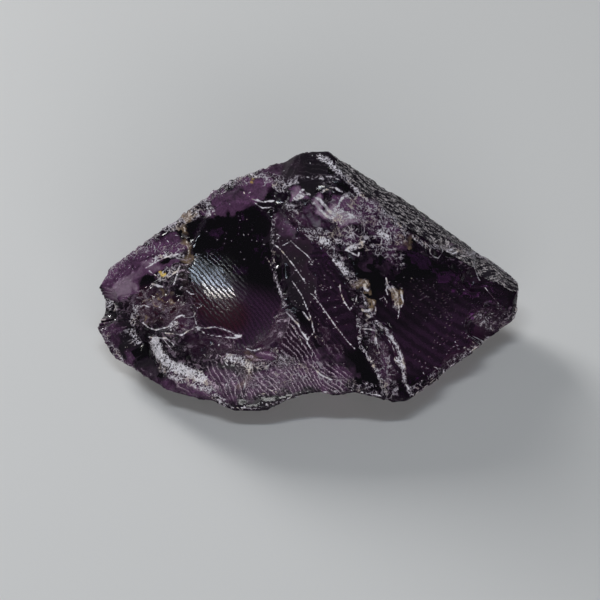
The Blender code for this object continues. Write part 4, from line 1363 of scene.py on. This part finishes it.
class StoneSettings(bpy.types.PropertyGroup):
    depth_colour: colour_setting(
        "Depth colour", "Colour that the light keeps on its way through the stone", (0.55, 0.22, 0.60)
    )
    depth: FloatProperty(
        name="Depth", description="How fast the stone darkens with its thickness, per metre",
        default=190.0, min=0.0,
    )
    clear_colour: colour_setting("Clear colour", "Tint of the clear breaks", (0.05, 0.03, 0.06))
    glow_colour: colour_setting(
        "Glow colour", "Tint where light comes back up through the stone", (0.90, 0.32, 0.92)
    )
    amber_colour: colour_setting(
        "Amber colour", "Tint where the light that comes back up is reddish", (0.90, 0.14, 0.38)
    )
    dark_colour: colour_setting(
        "Dark colour", "Colour between the white grains", (0.009, 0.0035, 0.0105)
    )
    lit_colour: colour_setting(
        "Lit colour", "Colour between the white grains where light comes back up", (0.050, 0.018, 0.043)
    )
    # On the lips the mauve is partly painted light that shines through their thin edges.
    mauve_colour: colour_setting("Mauve colour", "Colour of cloudy places", (0.160, 0.068, 0.155))
    satin_colour: colour_setting("Satin colour", "Colour of the dull, dark faces", (0.015, 0.013, 0.0155))
    stain_colour: colour_setting("Stain colour", "Colour of the iron stains", (0.26, 0.178, 0.110))
    # The pale colour is a painted sheen: the lit crests of the ripples and the strongest haze.
    pale_colour: colour_setting("Pale colour", "Colour of the crests of the ripples", (0.68, 0.53, 0.64))
    # The gold colour paints glints: the small crystals' yellow, bright as a highlight.
    gold_colour: colour_setting("Gold colour", "Colour of the small yellow crystals", (0.80, 0.56, 0.12))
    grey_colour: colour_setting(
        "Grey colour", "Colour of the dimmer grains of crushed places", (0.13, 0.085, 0.125)
    )
    white_colour: colour_setting(
        "White colour", "Colour of crushed places and fresh edges", (0.90, 0.86, 0.92)
    )
    cream_colour: colour_setting(
        "Cream colour", "Colour of the warmer ones of the white grains", (0.80, 0.69, 0.58)
    )
    # Partly the natural face's own grey striations and partly a painted sheen.
    skin_sheen_colour: colour_setting("Skin colour", "Colour of the grooved natural face", (0.66, 0.60, 0.61))


def full(colour):
    """A colour with its fourth value."""
    return (*colour, 1.0)


def tint_group():
    """Shader group: the stone's own colour with haze, satin, stain, stripes, white and gold over it.

    The stripes and the strongest haze are a painted sheen in the pale colour, and the gold paints
    glints.
    """
    shares = [name + " Share" for name in SHARES]
    group, nodes, given, made = new_group(
        "break_tints", ("OUTPUT", "Color", {"Color": None}),
        ("INPUT", "Color", dict.fromkeys(("Base", *TINTS))), ("INPUT", "Float", dict.fromkeys(shares)),
    )
    grain = given["Grain Share"]
    place = nodes.place()
    cloud = nodes.line("cloud", nodes.noise("cloud", place, CLOUD_SCALE))
    haze = nodes.curve("haze", nodes.math("ADD", nodes.mark("haze"), cloud))
    haze = nodes.times(haze, nodes.curve("haze_grain", grain))
    # Painted sheen: the ripples' crests in the pale colour, worn in places.
    stripes = nodes.times(given["Stripe Share"], nodes.mark("striped"))
    worn = nodes.curve("worn", nodes.noise("worn", place, WORN_SCALE))
    stripes = nodes.times(stripes, nodes.times(worn, nodes.curve("stripe_grain", grain)))
    colour = nodes.mix(haze, given["Base"], given["Mauve"])
    # The strongest haze turns to the pale colour: a painted sheen.
    pale = nodes.curve("haze_sheen", nodes.math("ADD", nodes.mark("haze"), cloud))
    colour = nodes.mix(pale, colour, given["Pale"])
    dull = nodes.curve("satin", nodes.math("MULTIPLY_ADD", cloud, 0.5, nodes.mark("dull")))
    colour = nodes.mix(dull, colour, given["Satin"])
    stain = nodes.times(nodes.mark("stain"), nodes.curve("stain_cloud", cloud))
    colour = nodes.mix(stain, colour, given["Stain"])
    colour = nodes.mix(stripes, colour, given["Pale"])
    warmth = nodes.curve("warmth", nodes.noise("warmth", place, WARMTH_SCALE))
    warmth = nodes.times(warmth, nodes.curve("cool_frost", nodes.mark("frost")))
    warmth = nodes.most(warmth, nodes.curve("warm_stain", nodes.mark("stain")))
    white = nodes.mix(warmth, given["White"], given["Cream"])
    white = nodes.mix(given["Bright Share"], given["Grey"], white)
    colour = nodes.mix(given["White Share"], colour, white)
    # Painted glints of the small yellow crystals.
    gold = nodes.times(nodes.mark("gold"), nodes.curve("gold_grain", grain))
    colour = nodes.mix(gold, colour, given["Gold"])
    nodes.put(made["Color"], colour)
    return group


def tinted(nodes, groups, settings, marks, base=None):
    """The colour that the tint group gives for a base colour and the marks group's results.

    Without a base colour it is dark, and lighter where light comes back up through the stone.
    """
    if base is None:
        base = nodes.mix(nodes.mark("glow"), full(settings.dark_colour), full(settings.lit_colour))
    values = {name: full(getattr(settings, name.lower() + "_colour")) for name in TINTS}
    values.update({name + " Share": marks[name] for name in SHARES})
    values["Base"] = base
    return nodes.add("ShaderNodeGroup", values, node_tree=groups["tints"]).outputs["Color"]


def stone_material(name, settings, groups):
    """A see-through material with the stone's depth colour.

    Returns it, its nodes, its shader's inputs and the results of the marks group.
    """
    material = bpy.data.materials.new(name)
    material.use_nodes = True
    nodes = Nodes(material.node_tree)
    shader = material.node_tree.nodes["Principled BSDF"].inputs
    transmission, roughness, specular = FINISHES[name][:3]
    shader["Transmission Weight"].default_value = transmission
    shader["IOR"].default_value = QUARTZ_IOR
    shader["Roughness"].default_value = roughness
    shader["Specular IOR Level"].default_value = specular
    values = {"Color": full(settings.depth_colour), "Density": settings.depth}
    absorb = nodes.add("ShaderNodeVolumeAbsorption", values)
    nodes.put(material.node_tree.nodes["Material Output"].inputs["Volume"], absorb.outputs[0])
    marks = nodes.add("ShaderNodeGroup", node_tree=groups["marks"]).outputs
    return material, nodes, shader, marks


def add_bump(name, nodes, shader, height):
    """Bumps a material by a height, as far and as strongly as its finish says."""
    distance, strength = FINISHES[name][3:]
    values = {"Height": height, "Distance": distance, "Strength": strength}
    nodes.put(shader["Normal"], nodes.add("ShaderNodeBump", values).outputs["Normal"])


def clear_material(settings, groups):
    """Clear breaks: tinted where they glow, in streaks along the ripples, and rougher in the grooves."""
    material, nodes, shader, marks = stone_material("clear", settings, groups)
    streak = nodes.curve("glow_streak", marks["Wave"])
    glow = nodes.times(nodes.mark("glow"), streak)
    light = nodes.mix(nodes.mark("warm"), full(settings.glow_colour), full(settings.amber_colour))
    nodes.put(shader["Base Color"], nodes.mix(glow, full(settings.clear_colour), light))
    groove = nodes.times(nodes.mark("striped"), nodes.curve("groove", marks["Wave"]))
    nodes.put(shader["Roughness"], nodes.curve("groove_roughness", groove))
    add_bump("clear", nodes, shader, marks["Height"])
    return material


def hazy_material(settings, groups):
    """Cloudy breaks."""
    material, nodes, shader, marks = stone_material("hazy", settings, groups)
    nodes.put(shader["Base Color"], tinted(nodes, groups, settings, marks))
    add_bump("hazy", nodes, shader, marks["Height"])
    return material


def frosted_material(settings, groups):
    """Crushed, striped and dull places: the whiter or the duller, the rougher."""
    material, nodes, shader, marks = stone_material("frosted", settings, groups)
    nodes.put(shader["Base Color"], tinted(nodes, groups, settings, marks))
    roughness = nodes.curve("white_roughness", marks["White"])
    roughness = nodes.most(roughness, nodes.times(nodes.mark("dull"), DULL_ROUGHNESS))
    nodes.put(shader["Roughness"], roughness)
    add_bump("frosted", nodes, shader, marks["Height"])
    return material


def skin_material(settings, groups):
    """Streaks that run down the natural face: noise drawn out along it, and its fine grooves.

    The light streaks are partly the face's own striations and partly a painted sheen.
    """
    material, nodes, shader, marks = stone_material("skin", settings, groups)
    across_along = {"X": nodes.mark("groove"), "Y": nodes.mark("along")}
    place = nodes.add("ShaderNodeCombineXYZ", across_along).outputs[0]
    drawn = nodes.add("ShaderNodeMapping", {"Vector": place, "Scale": SKIN_DRAWN_OUT}).outputs[0]
    streak = nodes.noise("skin", drawn, SKIN_STREAK_SCALE)
    streak = nodes.times(streak, 1.0 - SKIN_GRAIN_PART)
    fine = nodes.math("MULTIPLY_ADD", marks["Grain"], SKIN_GRAIN_PART, streak)
    streak = nodes.times(nodes.curve("skin_streak", fine), nodes.curve("skin_grain", marks["Grain"]))
    # Painted sheen on the natural face's streaks, partly their own grey.
    base = nodes.mix(streak, full(settings.dark_colour), full(settings.skin_sheen_colour))
    nodes.put(shader["Base Color"], tinted(nodes, groups, settings, marks, base))
    height = nodes.math("ADD", nodes.times(streak, SKIN_STREAK_HEIGHT), marks["Height"])
    add_bump("skin", nodes, shader, height)
    return material


class AMETHYST_OT_stone(bpy.types.Operator):
    """Build the broken stone with its breaks, ripples and frosted edges"""

    bl_idname = "amethyst.stone"
    bl_label = "Stone"

    def execute(self, context):
        points, names, count, gap, crushed = stone_surface()
        mesh = stone_mesh(points)
        stone = bpy.data.objects.new("amethyst_stone", mesh)
        context.scene.collection.objects.link(stone)
        settings = context.scene.amethyst_stone
        groups = {"marks": marks_group(), "tints": tint_group()}
        for make in (clear_material, hazy_material, frosted_material, skin_material):
            mesh.materials.append(make(settings, groups))
        mark_surface(mesh, points, names, count, gap, crushed)
        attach(stone, "root")
        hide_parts(STONE_NODE)
        return {"FINISHED"}


def soft_light(scene, name, place, size, energy, along, colour):
    """A rectangular area light that faces the stone, its first side turned along a direction."""
    light = bpy.data.lights.new(name, "AREA")
    light.shape = "RECTANGLE"
    light.size, light.size_y = size
    light.energy = energy
    light.color = colour
    away = (Vector(place) - Vector(LOOK_AT_MM * METRES_PER_MM)).normalized()
    second = away.cross(Vector(along)).normalized()
    turned = Matrix((second.cross(away), second, away)).transposed()
    lamp = bpy.data.objects.new(name, light)
    lamp.matrix_world = Matrix.Translation(place) @ turned.to_4x4()
    scene.collection.objects.link(lamp)


def plain_floor(scene):
    """A level floor under the stone, larger than any view of it."""
    mesh = bpy.data.meshes.new("floor")
    signs = ((-1, -1), (1, -1), (1, 1), (-1, 1))
    corners = [(x * FLOOR_HALF_SIDE, y * FLOOR_HALF_SIDE, 0.0) for x, y in signs]
    mesh.from_pydata(corners, [], [(0, 1, 2, 3)])
    plain = bpy.data.materials.new("floor")
    plain.use_nodes = True
    shader = plain.node_tree.nodes["Principled BSDF"]
    shader.inputs["Base Color"].default_value = FLOOR_COLOUR
    shader.inputs["Roughness"].default_value = FLOOR_ROUGHNESS
    mesh.materials.append(plain)
    floor = bpy.data.objects.new("floor", mesh)
    scene.collection.objects.link(floor)
    return floor


def photo_camera(scene):
    """The camera of the photograph's view."""
    data = bpy.data.cameras.new("camera")
    camera = bpy.data.objects.new("camera", data)
    scene.collection.objects.link(camera)
    target = Vector(LOOK_AT_MM * METRES_PER_MM)
    back = Vector((0.0, -math.cos(ELEVATION), math.sin(ELEVATION)))
    camera.location = target + back * VIEW_DISTANCE_MM * METRES_PER_MM
    camera.rotation_mode = "QUATERNION"
    camera.rotation_quaternion = (-back).to_track_quat("-Z", "Y")
    data.sensor_width = SENSOR_MM
    data.lens = data.sensor_width * VIEW_DISTANCE_MM / (PHOTO_SIDE * MM_PER_PIXEL)
    scene.camera = camera


class AMETHYST_OT_stage(bpy.types.Operator):
    """Build the plain floor, the soft lights and the camera"""

    bl_idname = "amethyst.stage"
    bl_label = "Stage"

    def execute(self, context):
        scene = context.scene
        scene.view_settings.view_transform = "Standard"
        world = bpy.data.worlds.new("studio")
        world.use_nodes = True
        background = world.node_tree.nodes["Background"]
        background.inputs["Color"].default_value = WORLD_COLOUR
        background.inputs["Strength"].default_value = WORLD_STRENGTH
        scene.world = world
        floor = plain_floor(scene)
        photo_camera(scene)
        for name, light in LIGHTS.items():
            soft_light(scene, name, *light)
        return {"FINISHED"}


class AMETHYST_PT_panel(bpy.types.Panel):
    """Colours, depth and build buttons of the stone"""

    bl_idname = "AMETHYST_PT_panel"
    bl_label = "Amethyst"
    bl_space_type = "VIEW_3D"
    bl_region_type = "UI"
    bl_category = "Amethyst"

    def draw(self, context):
        settings = context.scene.amethyst_stone
        for name in settings.__annotations__:
            self.layout.prop(settings, name)
        for operator in OPERATORS:
            self.layout.operator(operator.bl_idname)


OPERATORS = (AMETHYST_OT_stone, AMETHYST_OT_stage)
CLASSES = (StoneSettings, *OPERATORS, AMETHYST_PT_panel)


def register():
    for made in CLASSES:
        bpy.utils.register_class(made)
    bpy.types.Scene.amethyst_stone = PointerProperty(type=StoneSettings)


def unregister():
    del bpy.types.Scene.amethyst_stone
    for made in reversed(CLASSES):
        bpy.utils.unregister_class(made)


def main():
    register()
    bpy.ops.amethyst.stone()
    bpy.ops.amethyst.stage()


if __name__ == "__main__":
    main()
